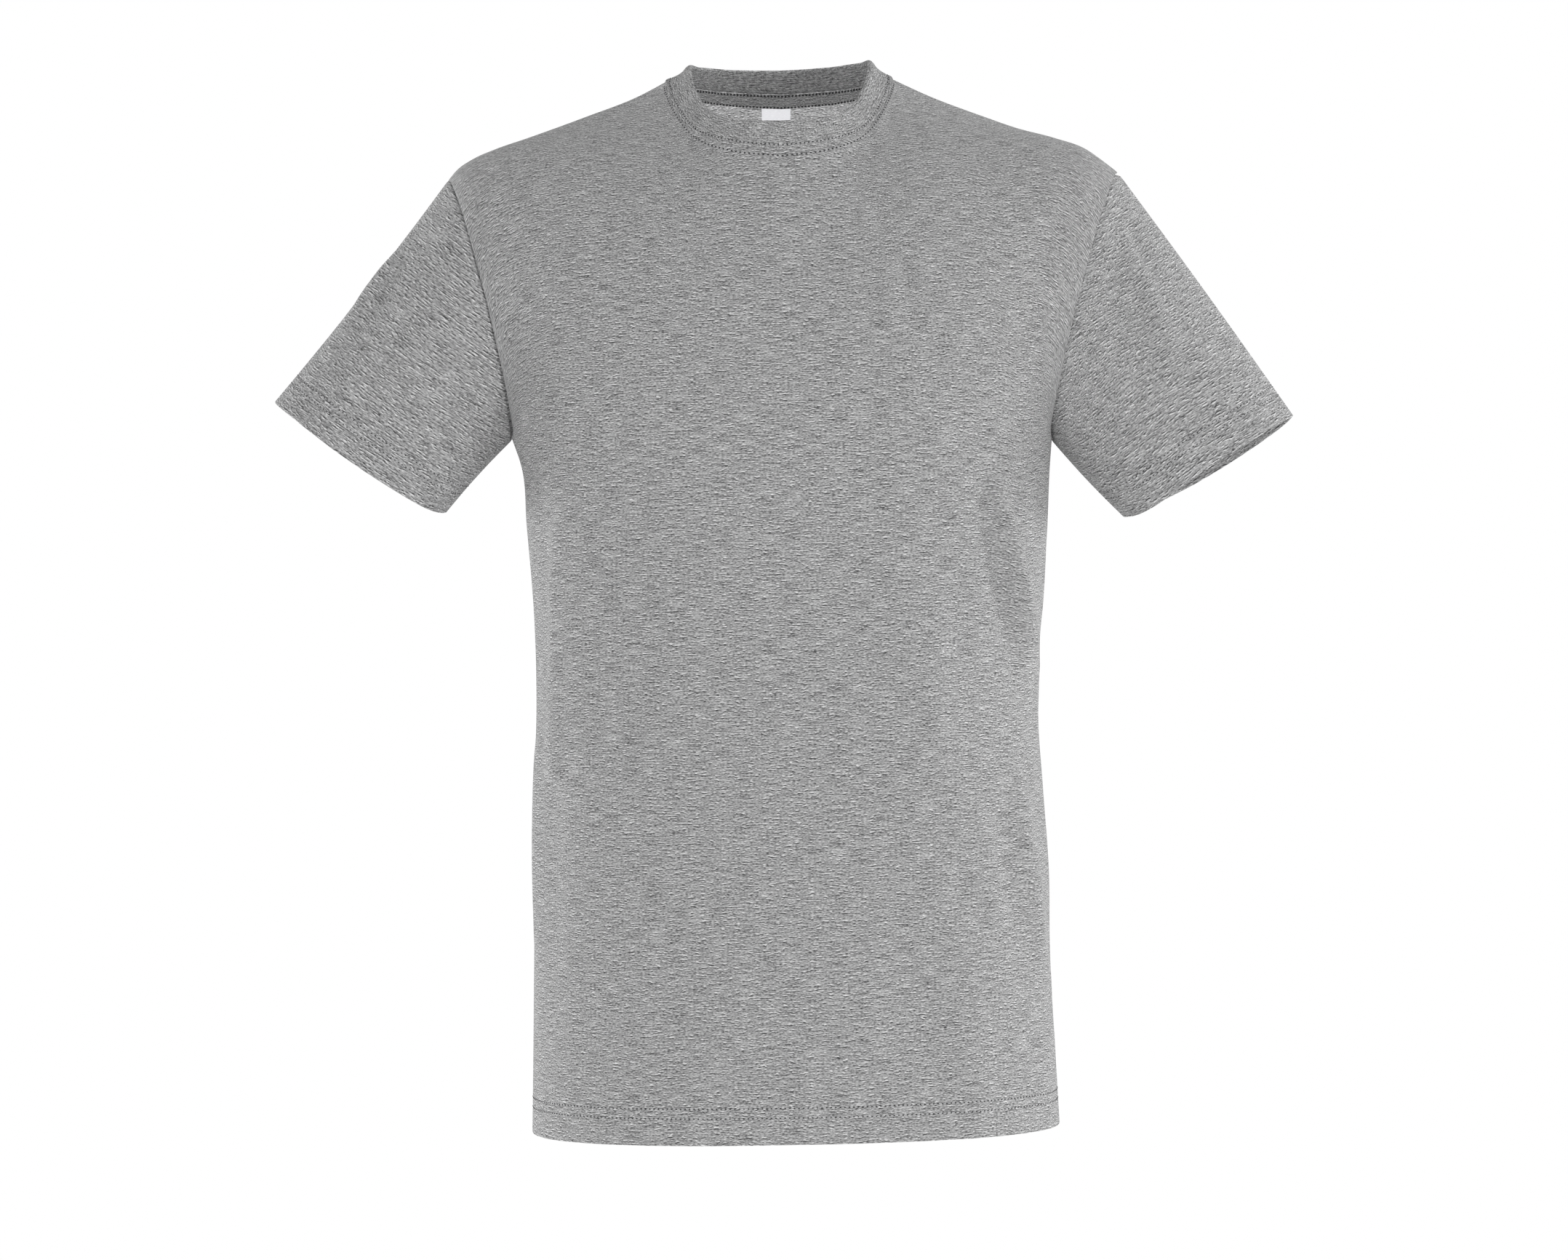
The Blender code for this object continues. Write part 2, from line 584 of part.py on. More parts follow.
def build():
    for old in list(bpy.data.objects):
        bpy.data.objects.remove(old, do_unlink=True)
    collection = bpy.data.collections.new("crew_neck_t_shirt")
    bpy.context.scene.collection.children.link(collection)

    front = panel(FRONT)
    back = panel(BACK)
    grids = {
        "front": (front, False),
        "back": (back, False),
        "sleeve_left": (sleeve(LEFT, front, back), True),
        "sleeve_right": (sleeve(RIGHT, front, back), True),
        "collar": (collar(front, back), True),
    }
    insets = shared_insets(grids)
    inner_sides = {}
    for name, (grid, closed) in grids.items():
        inset = insets[name]
        shift = ring_shift(grid, inset) if closed else panel_shift(grid, inset)
        thick = np.full(grid.shape[0], WALL)
        if name == "collar":
            thick[1:] = COLLAR_WALL
        elif closed:
            thick[-2:] = HEM_WALL
        else:
            thick[:2] = HEM_WALL
        outer = grid + shift
        inner = outer + inset * thick[:, None, None]
        inner_sides[name] = inner
        colour = RIB_GREY if name == "collar" else JERSEY_GREY
        material = cloth(name + "_cloth", colour, CLOTH_ROUGHNESS)
        add_piece(name, outer, inner, closed, material, collection)

    inside = inner_sides["back"]
    first = SHOULDER_COLUMNS + TAPE["end_cells"]
    last = 2 * HALF_COLUMNS - SHOULDER_COLUMNS - TAPE["end_cells"]
    tape_columns = [first, *range(SHOULDER_COLUMNS + 1, 2 * HALF_COLUMNS - SHOULDER_COLUMNS), last]
    bottom = TAPE["top"] + TAPE["width"]
    near, far = strip_on_back(inside, tape_columns, (bottom, TAPE["top"]), TAPE["thick"])
    add_piece("neck_tape", far[:, ::-1], near[:, ::-1], False,
              cloth("tape_cotton", TAPE_GREY, CLOTH_ROUGHNESS), collection)

    label_top = bottom + LABEL["gap"]
    right = column_at(inside, LABEL["right"], label_top)
    left = column_at(inside, LABEL["left"], label_top)
    label_columns = np.linspace(right, left, LABEL_CELLS["across"] + 1)
    label_rows = np.linspace(label_top + LABEL["length"], label_top, LABEL_CELLS["down"] + 1)
    near, far = strip_on_back(inside, label_columns, label_rows, LABEL["thick"])
    add_piece("label", far[:, ::-1], near[:, ::-1], False,
              cloth("label_satin", LABEL_WHITE, SATIN_ROUGHNESS), collection)


build()
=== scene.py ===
"""Crew neck t-shirt in heather grey cotton jersey, hollow and filled out as if worn.

Lengths in the tables are millimetres, and finished meshes are in metres with +Z up. The front
faces -Y, and left and right are the viewer's. Every piece follows the same rings, sections and
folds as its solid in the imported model, with finer cells, thinner cloth, hems, seams and stitches.
"""

import math

import bpy
import numpy as np
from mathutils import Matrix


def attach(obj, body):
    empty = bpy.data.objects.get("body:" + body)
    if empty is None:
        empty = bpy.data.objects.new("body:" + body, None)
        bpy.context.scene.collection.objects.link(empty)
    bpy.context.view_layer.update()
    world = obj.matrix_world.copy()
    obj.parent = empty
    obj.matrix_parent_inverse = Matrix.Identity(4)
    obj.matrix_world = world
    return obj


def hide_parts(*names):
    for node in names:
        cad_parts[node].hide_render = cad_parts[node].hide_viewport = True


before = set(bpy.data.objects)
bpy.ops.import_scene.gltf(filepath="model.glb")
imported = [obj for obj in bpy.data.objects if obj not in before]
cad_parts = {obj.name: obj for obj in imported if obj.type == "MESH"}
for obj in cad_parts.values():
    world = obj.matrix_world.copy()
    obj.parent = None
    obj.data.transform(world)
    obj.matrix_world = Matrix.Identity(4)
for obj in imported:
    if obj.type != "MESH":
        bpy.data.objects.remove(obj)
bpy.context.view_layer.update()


# Front
# One piece of single jersey from hem to shoulders. It hangs as an oval tube with the back, rises
# over the chest to the shoulder seams and is cut away for the armholes and the neck.

MM = 0.001
FRONT = -1
BACK = 1
LEFT = -1
RIGHT = 1
CLOTH = 0.9
FINE_STEPS = 160

BODY_COLUMNS = ("height", "left", "right", "front", "back", "rise")
BODY_SECTIONS = (
    (-708.2, 168.6, 187.8, 127, 122, 6.2),
    (-655, 168, 184.6, 126, 121, 4.8),
    (-596, 167.5, 180.6, 124, 119, 3.5),
    (-537, 167, 180.5, 122, 116, 2),
    (-478, 167, 176.5, 120, 112, 0),
    (-418, 166, 172.6, 119, 109, 0),
    (-360, 167.8, 174.9, 119, 110, 0),
    (-300, 172.8, 179.6, 121, 114, 0),
    (-262, 176.2, 181.2, 122, 116, 0),
    (-243, 182.6, 182.6, 122, 117, 0),
)
SQUARENESS = 2.4
SHOULDER_LINES = {
    LEFT: ((226, -68), (220.7, -61.6), (210, -54), (194, -46.8), (173, -39.4),
           (133.5, -24.6), (96.5, -9.9), (79, -0.5)),
    RIGHT: ((227.5, -62.5), (216.7, -54.2), (206.4, -47), (185.7, -39.4), (158.6, -32),
            (138, -24.6), (99.5, -9.9), (75, 1.5)),
}
NECK_COLUMNS = ("angle", "seam_height", "top_height")
NECK_STATIONS = (
    (0, -54.5, -34.8),
    (25, -50.2, -32.6),
    (50, -38.5, -22.8),
    (70, -17.5, -6),
    (90, 0.5, 10.8),
    (120, 0.6, 14.1),
    (150, -1.4, 13.7),
    (180, -2.8, 13.1),
)
NECK_SEAM = {"left": 79, "right": 75, "front": -87, "side": 4, "back": 68,
             "height": "seam_height", "squareness": 2, "tilt": 0.013}
ARMHOLE_REACH = {FRONT: 62, BACK: 60}
ARMHOLE_BOW = 8
ARMPIT_DIP = {"depth": 20, "columns": 2, "steepness": 1.5}
SHOULDER_ROUNDNESS = 0.9
NECK_EASE = {"cells": 4, "passes": 14}

# The solids' cells, and the finer ones here: extra lines lie beside the seams, at the hem's
# stitches and along the neck. Distances are from the edge of the cloth.
SOLID_COLUMNS, SOLID_SHOULDER, SOLID_BODY_ROWS, SOLID_TOP_ROWS = 18, 10, 14, 12
NECK_HALF = SOLID_COLUMNS - SOLID_SHOULDER
NEAR = 1e-6
FINER = 5
SEAM_LINES = (0.35, 0.8, 1.4, 2.2)
HEM_LINES = (0, 0.25, 0.6, 1.1, 2, 4, 7, 10, 13, 15.5, 16.8, 17.6, 18.4, 19.7, 21,
             22.4, 23.7, 24.5, 25, 25.5, 27, 30, 34)
TOP_LINES = (12, 9, 7, 5.8, 5.2, 4.7, 4.2, 3.5, 2.4, 1.4, 0.8, 0.35)
SEAM_CELL = 13

HEM = {"height": 24.9, "layer": 0.8, "roll": 0.7, "step": 0.6, "inner_roll": 0.6}
SIDE_GROOVE = {"depth": 0.5, "reach": 1.2}
SHOULDER_GROOVE = {"depth": 0.5, "reach": 1.2}
NECK_GROOVE = {"depth": 0.16, "reach": 1.2}
ARMHOLE_EDGE = {"depth": 0.3, "reach": 0.7}
HEM_ROWS = (17.6, 24)
NECK_STITCH = 4.7
STITCH_DIP = {"depth": 0.28, "reach": 0.9}

FOLD_COLUMNS = ("x0", "z0", "x1", "z1", "reach", "height")
FRONT_FOLDS = (
    (-158, -292, -156, -440, 10, -5),
    (-141, -300, -146, -470, 16, 3.5),
    (128, -250, 154, -316, 14, -5),
    (148, -262, 168, -350, 15, 4),
    (158, -330, 166, -430, 14, 4),
    (150, -480, 168, -640, 20, 3),
    (-120, -560, -128, -700, 26, -3),
)
# Softer folds that only the cloth has.
FRONT_CREASES = (
    (-205, -88, -168, -120, 13, -2),
    (-192, -150, -150, -184, 11, -2.2),
    (-176, -226, -128, -232, 9, 1.6),
    (-176, -246, -164, -300, 10, -3),
    (-150, -300, -152, -470, 6, 5),
    (-164, -348, -148, -340, 9, 1.8),
    (-146, -340, -100, -330, 7, 1.6),
    (-146, -348, -104, -362, 7, 1.4),
    (-163, -448, -166, -580, 4, 3),
    (-150, -480, -154, -640, 7, -2.4),
    (196, -96, 158, -132, 12, -2),
    (184, -146, 150, -176, 9, -2.6),
    (178, -192, 134, -210, 10, 2.2),
    (170, -236, 118, -246, 8, -1.6),
    (144, -274, 165, -396, 4.5, 7.5),
    (133, -280, 155.5, -404, 5, -5.5),
    (181, -366, 180, -404, 9, -2.2),
    (78, -320, 106, -470, 22, 4),
    (156, -466, 173, -610, 5.5, 5),
    (142, -470, 159, -612, 8, -3.6),
    (172, -610, 176, -700, 6, 3),
    (-92, -420, -100, -520, 18, 2),
    (-60, -500, -66, -690, 22, -2.4),
    (30, -560, 34, -700, 20, 2.4),
    (84, -540, 92, -690, 18, -2.6),
    (122, -600, 130, -704, 14, 2.4),
    (-36, -108, 10, -132, 16, -1.6),
    (52, -108, 12, -132, 16, -1.6),
)
FOLD_FADE = 26
FOLD_END = 0.12
CREASE_FADE = 16


def named(table, columns):
    """The columns of a table as arrays, by name."""
    return dict(zip(columns, np.array(table, float).T))


def smooth(at, knots, values):
    """A curve through values at rising knots, with a slope at each knot from its neighbours."""
    knots = np.asarray(knots, float)
    values = np.asarray(values, float)
    slopes = np.gradient(values, knots, axis=0)
    i = np.clip(np.searchsorted(knots, at) - 1, 0, len(knots) - 2)
    span = knots[i + 1] - knots[i]
    f = (at - knots[i]) / span
    if values.ndim > 1:
        f = f[:, None]
        span = span[:, None]
    return (values[i] * (1 + 2 * f) * (1 - f) ** 2 + slopes[i] * span * f * (1 - f) ** 2
            + values[i + 1] * f * f * (3 - 2 * f) - slopes[i + 1] * span * f * f * (1 - f))


def run_along(points):
    """The length of a line up to each of its points."""
    steps = np.linalg.norm(np.diff(points, axis=0), axis=1)
    return np.concatenate([[0.0], np.cumsum(steps)])


def points_at(points, run, at):
    return np.stack([np.interp(at, run, points[:, k]) for k in range(3)], axis=1)


def power(value, exponent):
    return np.sign(value) * np.abs(value) ** exponent


def unit(vectors):
    return vectors / np.linalg.norm(vectors, axis=-1, keepdims=True)


def body_section(height, facing, columns):
    """Points of half a section of the body, from the left seam to the right seam."""
    table = named(BODY_SECTIONS, BODY_COLUMNS)
    at = np.array([height])
    size = {name: float(smooth(at, table["height"], table[name])[0]) for name in BODY_COLUMNS[1:]}
    depth = size["front"] if facing == FRONT else size["back"]
    angle = np.linspace(0.0, math.pi / 2, FINE_STEPS)
    sides = []
    for side, reach in ((LEFT, size["left"]), (RIGHT, size["right"])):
        x = side * reach * power(np.sin(angle), 2 / SQUARENESS)
        y = facing * depth * power(np.cos(angle), 2 / SQUARENESS)
        z = height + size["rise"] * x / (size["left"] + size["right"])
        line = np.stack([x, y, z], axis=1)
        run = run_along(line)
        sides.append(points_at(line, run, np.abs(columns) / SOLID_COLUMNS * run[-1]))
    return np.where(columns[:, None] < 0, sides[0], sides[1])


def neck_point(angle, size):
    """A point of the neck at an angle in degrees from the front centre, positive to the right."""
    turn = math.radians(angle)
    side = size["right"] if turn > 0 else size["left"]
    x = side * power(math.sin(turn), 2 / size["squareness"])
    forward = power(math.cos(turn), 2 / size["squareness"])
    reach = size["side"] - size["front"] if forward > 0 else size["back"] - size["side"]
    table = named(NECK_STATIONS, NECK_COLUMNS)
    z = smooth(np.array([abs(angle)]), table["angle"], table[size["height"]])[0]
    return np.array([x, size["side"] - reach * forward, z + size["tilt"] * x])


def neckline(facing, columns, size):
    """The neck from its left point to its right point, over the front or the back."""
    across = 90.0 * columns / NECK_HALF
    if facing == BACK:
        across = np.where(across < 0, -180.0 - across, 180.0 - across)
    return np.array([neck_point(a, size) for a in across])


def top_edge(facing, columns):
    """Left shoulder seam, neckline and right shoulder seam."""
    edge = np.empty((len(columns), 3))
    inside = np.abs(columns) < NECK_HALF - NEAR
    edge[inside] = neckline(facing, columns[inside], NECK_SEAM)
    for side in (LEFT, RIGHT):
        knots = np.array(SHOULDER_LINES[side])
        across = np.linspace(knots[-1, 0], knots[0, 0], FINE_STEPS)
        height = smooth(across, knots[::-1, 0], knots[::-1, 1])
        depth = np.linspace(NECK_SEAM["side"], 0.0, FINE_STEPS)
        line = np.stack([side * across, depth, height], axis=1)[::-1]
        run = run_along(line)
        here = ~inside & (np.sign(columns) == side)
        share = (SOLID_COLUMNS - np.abs(columns[here])) / SOLID_SHOULDER
        edge[here] = points_at(line, run, share * run[-1])
    return edge


def armhole(armpit, tip, side, facing, t):
    """The armhole seam from the armpit to the shoulder's tip."""
    turn = np.sin(math.pi * t)
    rise = (1 - np.cos(math.pi * t)) / 2
    line = armpit + (tip - armpit) * rise[:, None]
    line[:, 0] -= side * ARMHOLE_BOW * turn
    line[:, 1] += facing * ARMHOLE_REACH[facing] * turn
    return line


def chest(facing, columns):
    """The panel above the armpits: it rises from a level section and rounds over each shoulder.

    roundness is 1 under the shoulder seams, where the cloth turns level at the top, and 0 at the
    neck's centre. hold is the share of each column that keeps to the body and not to the armhole.
    """
    base = body_section(BODY_SECTIONS[-1][0], facing, columns)
    top = top_edge(facing, columns)
    centre = base[np.argmin(np.abs(columns)), 1]
    hold = (base[:, 1] / centre)[:, None]
    ease = np.clip(np.abs(columns) / NECK_HALF, 0.0, 1.0)
    roundness = (ease * ease * (3 - 2 * ease))[:, None]
    t = np.linspace(0.0, 1.0, FINE_STEPS)
    edges = [armhole(base[0], top[0], LEFT, facing, t), armhole(base[-1], top[-1], RIGHT, facing, t)]
    quarter = t * math.pi / 2
    rise = (1 - roundness) * t + roundness * np.sin(quarter)
    keep = (1 - roundness) * (1 - t * t) + roundness * np.cos(quarter) ** SHOULDER_ROUNDNESS
    drift = t * t * (3 - 2 * t)
    loft = np.stack([
        base[:, :1] + (top[:, :1] - base[:, :1]) * drift,
        top[:, 1:2] + (base[:, 1:2] - top[:, 1:2]) * keep,
        base[:, 2:] + (top[:, 2:] - base[:, 2:]) * rise,
    ], axis=2)
    side_rise = np.sin(quarter)
    way = np.stack([drift, side_rise, side_rise], axis=1)
    for column, from_centre in enumerate(columns):
        end = 0 if from_centre <= 0 else -1
        plain = base[end] + (top[end] - base[end]) * way
        loft[column] += (1 - hold[column]) * (edges[end] - plain)
    return loft


def woven(facing, columns, fine):
    """Rows of points from the hem to the top edge, and each point's row in the solid's grid.

    The row through the armpits dips beside them, so that it leaves each armpit between the side
    seam and the armhole.
    """
    levels = np.linspace(BODY_SECTIONS[0][0], BODY_SECTIONS[-1][0], FINE_STEPS)
    body = np.stack([body_section(level, facing, columns) for level in levels], axis=1)
    solid_rows = SOLID_BODY_ROWS + SOLID_TOP_ROWS + 1
    lines, rows = [], []
    for from_centre, low, high in zip(columns, body, chest(facing, columns)):
        line = np.concatenate([low, high[1:]])
        run = run_along(line)
        away = ((SOLID_COLUMNS - abs(from_centre)) / ARMPIT_DIP["columns"]) ** ARMPIT_DIP["steepness"]
        mark = run[FINE_STEPS - 1] - ARMPIT_DIP["depth"] * (1 - math.exp(-away))
        below = np.linspace(0.0, mark, SOLID_BODY_ROWS + 1)
        above = np.linspace(mark, run[-1], SOLID_TOP_ROWS + 1)[1:]
        solid_at = np.concatenate([below, above])
        at = solid_at
        if fine:
            low_rows = (SOLID_BODY_ROWS - 1) * FINER
            high_rows = (SOLID_TOP_ROWS - 1) * FINER
            top_start = run[-1] - TOP_LINES[0]
            at = np.concatenate([
                HEM_LINES, np.linspace(HEM_LINES[-1], mark, low_rows + 1)[1:],
                np.linspace(mark, top_start, high_rows + 1)[1:],
                run[-1] - np.array(TOP_LINES[1:] + (0.0,))])
        lines.append(points_at(line, run, at))
        rows.append(np.interp(at, solid_at, np.arange(solid_rows)))
    return np.stack(lines, axis=1), np.stack(rows, axis=1)


def neck_ease(grid):
    """How far the points beside each neck point move towards the middle of their neighbours."""
    before = grid.copy()
    rows, columns = np.indices(grid.shape[:2])
    from_side = np.minimum(columns, grid.shape[1] - 1 - columns)
    away = np.hypot(grid.shape[0] - 1 - rows, from_side - SOLID_SHOULDER)
    pull = np.exp(-((away / NECK_EASE["cells"]) ** 2))[1:-1, 1:-1, None]
    for _ in range(NECK_EASE["passes"]):
        middle = (grid[:-2, 1:-1] + grid[2:, 1:-1] + grid[1:-1, :-2] + grid[1:-1, 2:]) / 4
        grid[1:-1, 1:-1] += pull * (middle - grid[1:-1, 1:-1])
    return grid - before


def fold_lift(points, folds, columns):
    """How far the folds move each point out, from its place in the folds' own plane."""
    lift = np.zeros(points.shape[:-1])
    for row in folds:
        fold = dict(zip(columns, row))
        start, end = (np.array([fold[x], fold[y]]) for x, y in (columns[:2], columns[2:4]))
        run = end - start
        along = np.clip(((points - start) @ run) / (run @ run), 0.0, 1.0)
        away = np.linalg.norm(points - start - along[..., None] * run, axis=-1)
        taper = np.sin(math.pi * (FOLD_END + (1 - 2 * FOLD_END) * along))
        lift += fold["height"] * taper * np.exp(-((away / fold["reach"]) ** 2))
    return lift


def point_normals(grid, closed):
    """The outward way at each point, longer where its cells are larger."""
    ring = np.concatenate([grid, grid[:, :1]], axis=1) if closed else grid
    cells = np.cross(ring[1:, 1:] - ring[:-1, :-1], ring[1:, :-1] - ring[:-1, 1:]) / 2
    normal = np.zeros(grid.shape)
    for down in (0, 1):
        for over in (0, 1):
            columns = (np.arange(cells.shape[1]) + over) % grid.shape[1]
            normal[down:down + cells.shape[0], columns] += cells
    return normal


def across_and_up(grid, closed=False):
    """Each point's distance along its row and along its column, from the first of each."""
    ring = np.concatenate([grid, grid[:, :1]], axis=1) if closed else grid
    across = np.cumsum(np.linalg.norm(np.diff(ring, axis=1), axis=2), axis=1)
    across = np.concatenate([np.zeros((len(grid), 1)), across], axis=1)
    up = np.cumsum(np.linalg.norm(np.diff(grid, axis=0), axis=2), axis=0)
    return across, np.concatenate([np.zeros((1, grid.shape[1])), up])


half_columns = np.concatenate([np.linspace(0.0, SOLID_COLUMNS, SOLID_COLUMNS * FINER + 1),
                               SOLID_COLUMNS - np.array(SEAM_LINES) / SEAM_CELL])
half_columns = np.unique(np.round(half_columns, 6))
fine_columns = np.concatenate([-half_columns[::-1], half_columns[1:]])
armpit_row = len(HEM_LINES) - 1 + (SOLID_BODY_ROWS - 1) * FINER


def panel(facing, folds, creases):
    """Outer points of the front or the back with its folds, and the solid's row of each."""
    solid_columns = np.arange(-SOLID_COLUMNS, SOLID_COLUMNS + 1, dtype=float)
    push = neck_ease(woven(facing, solid_columns, False)[0]).transpose(1, 0, 2)
    push = smooth(fine_columns + SOLID_COLUMNS, np.arange(len(push)), push.reshape(len(push), -1))
    push = push.reshape(len(fine_columns), -1, 3)
    grid, rows = woven(facing, fine_columns, True)
    for column, eased in enumerate(push):
        grid[:, column] += smooth(rows[:, column], np.arange(len(eased)), eased)
    if facing == BACK:
        grid = grid[:, ::-1]
        rows = rows[:, ::-1]
    _, up = across_and_up(grid)
    fade = np.clip(np.abs(grid[..., 1]) / FOLD_FADE, 0.0, 1.0) ** 2
    edge_fade = 1 - np.exp(-(((up[-1] - up) / CREASE_FADE) ** 2))
    place = grid[..., [0, 2]]
    lift = (fold_lift(place, folds, FOLD_COLUMNS)
            + fold_lift(place, creases, FOLD_COLUMNS) * edge_fade) * fade
    return grid + unit(point_normals(grid, False)) * lift[..., None], rows


front_grid, front_rows = panel(FRONT, FRONT_FOLDS, FRONT_CREASES)


# Back
# The same jersey, cut like the front but higher at the neck. Its drape isn't in the photograph:
# a few long soft folds fall from the shoulder blades to the hem.

BACK_FOLDS = (
    (-136, -262, -146, -400, 15, -5),
    (-112, -280, -118, -470, 18, 4),
    (60, -330, 72, -640, 22, -4.5),
    (-40, -380, -58, -690, 24, -4),
    (8, -360, 6, -600, 22, 4),
    (138, -258, 150, -420, 16, -5),
    (118, -480, 128, -700, 24, 4),
)
BACK_CREASES = (
    (-190, -100, -150, -136, 12, -1.5),
    (-178, -196, -132, -214, 9, 1.4),
    (-168, -240, -118, -262, 8, -1.5),
    (188, -104, 150, -142, 12, -1.4),
    (176, -204, 136, -220, 9, 1.3),
    (168, -246, 122, -268, 8, -1.6),
    (-80, -330, -92, -470, 12, -1.6),
    (-12, -430, -22, -560, 10, -1.4),
    (36, -300, 40, -420, 11, 1.4),
    (92, -360, 100, -520, 13, 1.8),
    (-84, -540, -96, -700, 14, 1.8),
    (-128, -520, -138, -690, 12, -1.8),
    (32, -600, 38, -704, 12, 1.4),
    (-60, -46, 60, -44, 18, -0.8),
)
back_grid, _ = panel(BACK, BACK_FOLDS, BACK_CREASES)


# Sleeves
# Short set-in sleeves, each one piece of the same jersey sewn into a tube under the arm. They
# hang away from the body as if over arms, and their cuffs are turned up once like the hem.

SLEEVES = {
    LEFT: {"upper": (-342.9, -218.2), "lower": (-228.5, -294.6),
           "front_drop": (3.5, 4.3, 1.6), "back_drop": (0, 0, 0), "under_lift": 1.5,
           "top_bow": -3, "under_bow": -1.5},
    RIGHT: {"upper": (346, -227.6), "lower": (232.6, -297.6),
            "front_drop": (2.2, -1.2, -1.1), "back_drop": (2.2, 5.8, 4.2), "under_lift": 2,
            "top_bow": 1.5, "under_bow": 1.5},
}
CUFF = {"depth": 98, "y": -3, "squareness": 2.15}
UNDER_LIFT_TURN = 0.35
SLEEVE_STRETCH = 0.25
SLEEVE_FOLD_GROWTH = 4
ARMHOLE_LINES = (0, 0.35, 0.8, 1.4, 2.2, 3.6, 6, 9)
SLEEVE_CELLS = 34
SLEEVE_FOLD_COLUMNS = ("around0", "along0", "around1", "along1", "reach", "height")
SLEEVE_FOLDS = {
    LEFT: ((0.46, 0.28, 0.44, 0.62, 0.03, 2.5),
           (0.10, 0.05, 0.17, 0.75, 0.045, -4),
           (0.88, 0.05, 0.82, 0.70, 0.045, -4)),
    RIGHT: ((0.11, 0.02, 0.19, 0.80, 0.05, -5),
            (0.34, 0.05, 0.30, 0.42, 0.04, -3.5),
            (0.88, 0.05, 0.80, 0.75, 0.045, -4)),
}
SLEEVE_CREASES = {
    LEFT: ((0.46, 0.28, 0.432, 0.62, 0.014, 3),
           (0.425, 0.28, 0.392, 0.66, 0.015, -3.2),
           (0.36, 0.50, 0.31, 0.92, 0.02, 1.8),
           (0.33, 0.40, 0.28, 0.86, 0.016, -1.2),
           (0.23, 0.04, 0.27, 0.40, 0.022, -1.2),
           (0.62, 0.10, 0.66, 0.60, 0.025, -1.8),
           (0.72, 0.20, 0.76, 0.80, 0.025, 1.6)),
    RIGHT: ((0.42, 0.05, 0.385, 0.26, 0.014, -4.2),
            (0.385, 0.10, 0.345, 0.34, 0.013, 3.2),
            (0.36, 0.26, 0.30, 0.58, 0.015, 3.4),
            (0.325, 0.18, 0.27, 0.56, 0.017, -3.2),
            (0.23, 0.10, 0.22, 0.50, 0.022, 1.4),
            (0.62, 0.08, 0.66, 0.58, 0.025, -1.8),
            (0.73, 0.24, 0.76, 0.84, 0.025, 1.6)),
}


def sleeve(side, front, back, rows):
    """Rings from the armhole, which is the panels' own edge, to the cuff."""
    front_column = 0 if side == LEFT else -1
    back_column = -1 if side == LEFT else 0
    up = front[armpit_row:, front_column]
    down = back[armpit_row:, back_column][::-1]
    loop = np.concatenate([up, down[1:-1]])
    climb = math.pi * (rows[armpit_row:, front_column] - SOLID_BODY_ROWS) / SOLID_TOP_ROWS
    turn = np.concatenate([climb, 2 * math.pi - climb[::-1][1:-1]])
    size = SLEEVES[side]
    upper, lower = (np.array([size[end][0], CUFF["y"], size[end][1]])
                    for end in ("upper", "lower"))
    half = (upper - lower) / 2
    outward = unit(np.cross(half, np.array([0.0, -side, 0.0])))
    forward = power(np.sin(turn), 2 / CUFF["squareness"])
    end = (upper + lower) / 2 - half * power(np.cos(turn), 2 / CUFF["squareness"])[:, None]
    end = end - np.array([0.0, CUFF["depth"] / 2, 0.0]) * forward[:, None]
    from_under = np.minimum(turn, 2 * math.pi - turn)
    quarters = np.linspace(0.0, math.pi, 5)
    in_front, behind = (smooth(from_under, quarters, (0.0, *size[name], 0.0))
                        for name in ("front_drop", "back_drop"))
    drop = np.where(forward > 0, in_front, behind)
    drop = drop - size["under_lift"] * np.exp(-((from_under / UNDER_LIFT_TURN) ** 2))
    end = end + outward * drop[:, None]
    length = np.linalg.norm(end - loop, axis=1)
    near = np.array(ARMHOLE_LINES)[:, None] / length
    hem = 1 - np.array(HEM_LINES[::-1])[:, None] / length
    t = np.linspace(0.0, 1.0, SLEEVE_CELLS + 1)[1:-1, None]
    share = np.concatenate([near, near[-1] + (hem[0] - near[-1]) * t, hem])
    grid = loop + (end - loop) * share[..., None]
    under = np.clip(np.cos(turn), 0.0, 1.0) ** 2
    over = np.clip(-np.cos(turn), 0.0, 1.0) ** 2
    bow = (size["top_bow"] * over - size["under_bow"] * under) * np.sin(math.pi * share)
    grid[..., 2] += bow
    around = np.broadcast_to(turn / (2 * math.pi), share.shape)
    place = np.stack([around, share * SLEEVE_STRETCH], axis=2)
    folds = [(a0, l0 * SLEEVE_STRETCH, a1, l1 * SLEEVE_STRETCH, reach, height)
             for a0, l0, a1, l1, reach, height in SLEEVE_FOLDS[side] + SLEEVE_CREASES[side]]
    fade = np.clip(share * SLEEVE_FOLD_GROWTH, 0.0, 1.0)
    lift = fold_lift(place, folds, SLEEVE_FOLD_COLUMNS) * fade
    grid = grid + unit(point_normals(grid, True)) * (-side) * lift[..., None]
    if side == RIGHT:
        grid = np.concatenate([grid[:, :1], grid[:, :0:-1]], axis=1)
    return grid


sleeve_grids = {side: sleeve(side, front_grid, back_grid, front_rows) for side in (LEFT, RIGHT)}


# Collar
# A band of one by one rib, folded double and sewn on stretched, so that it stands up and leans
# in round the neck. Its fold is the top edge.

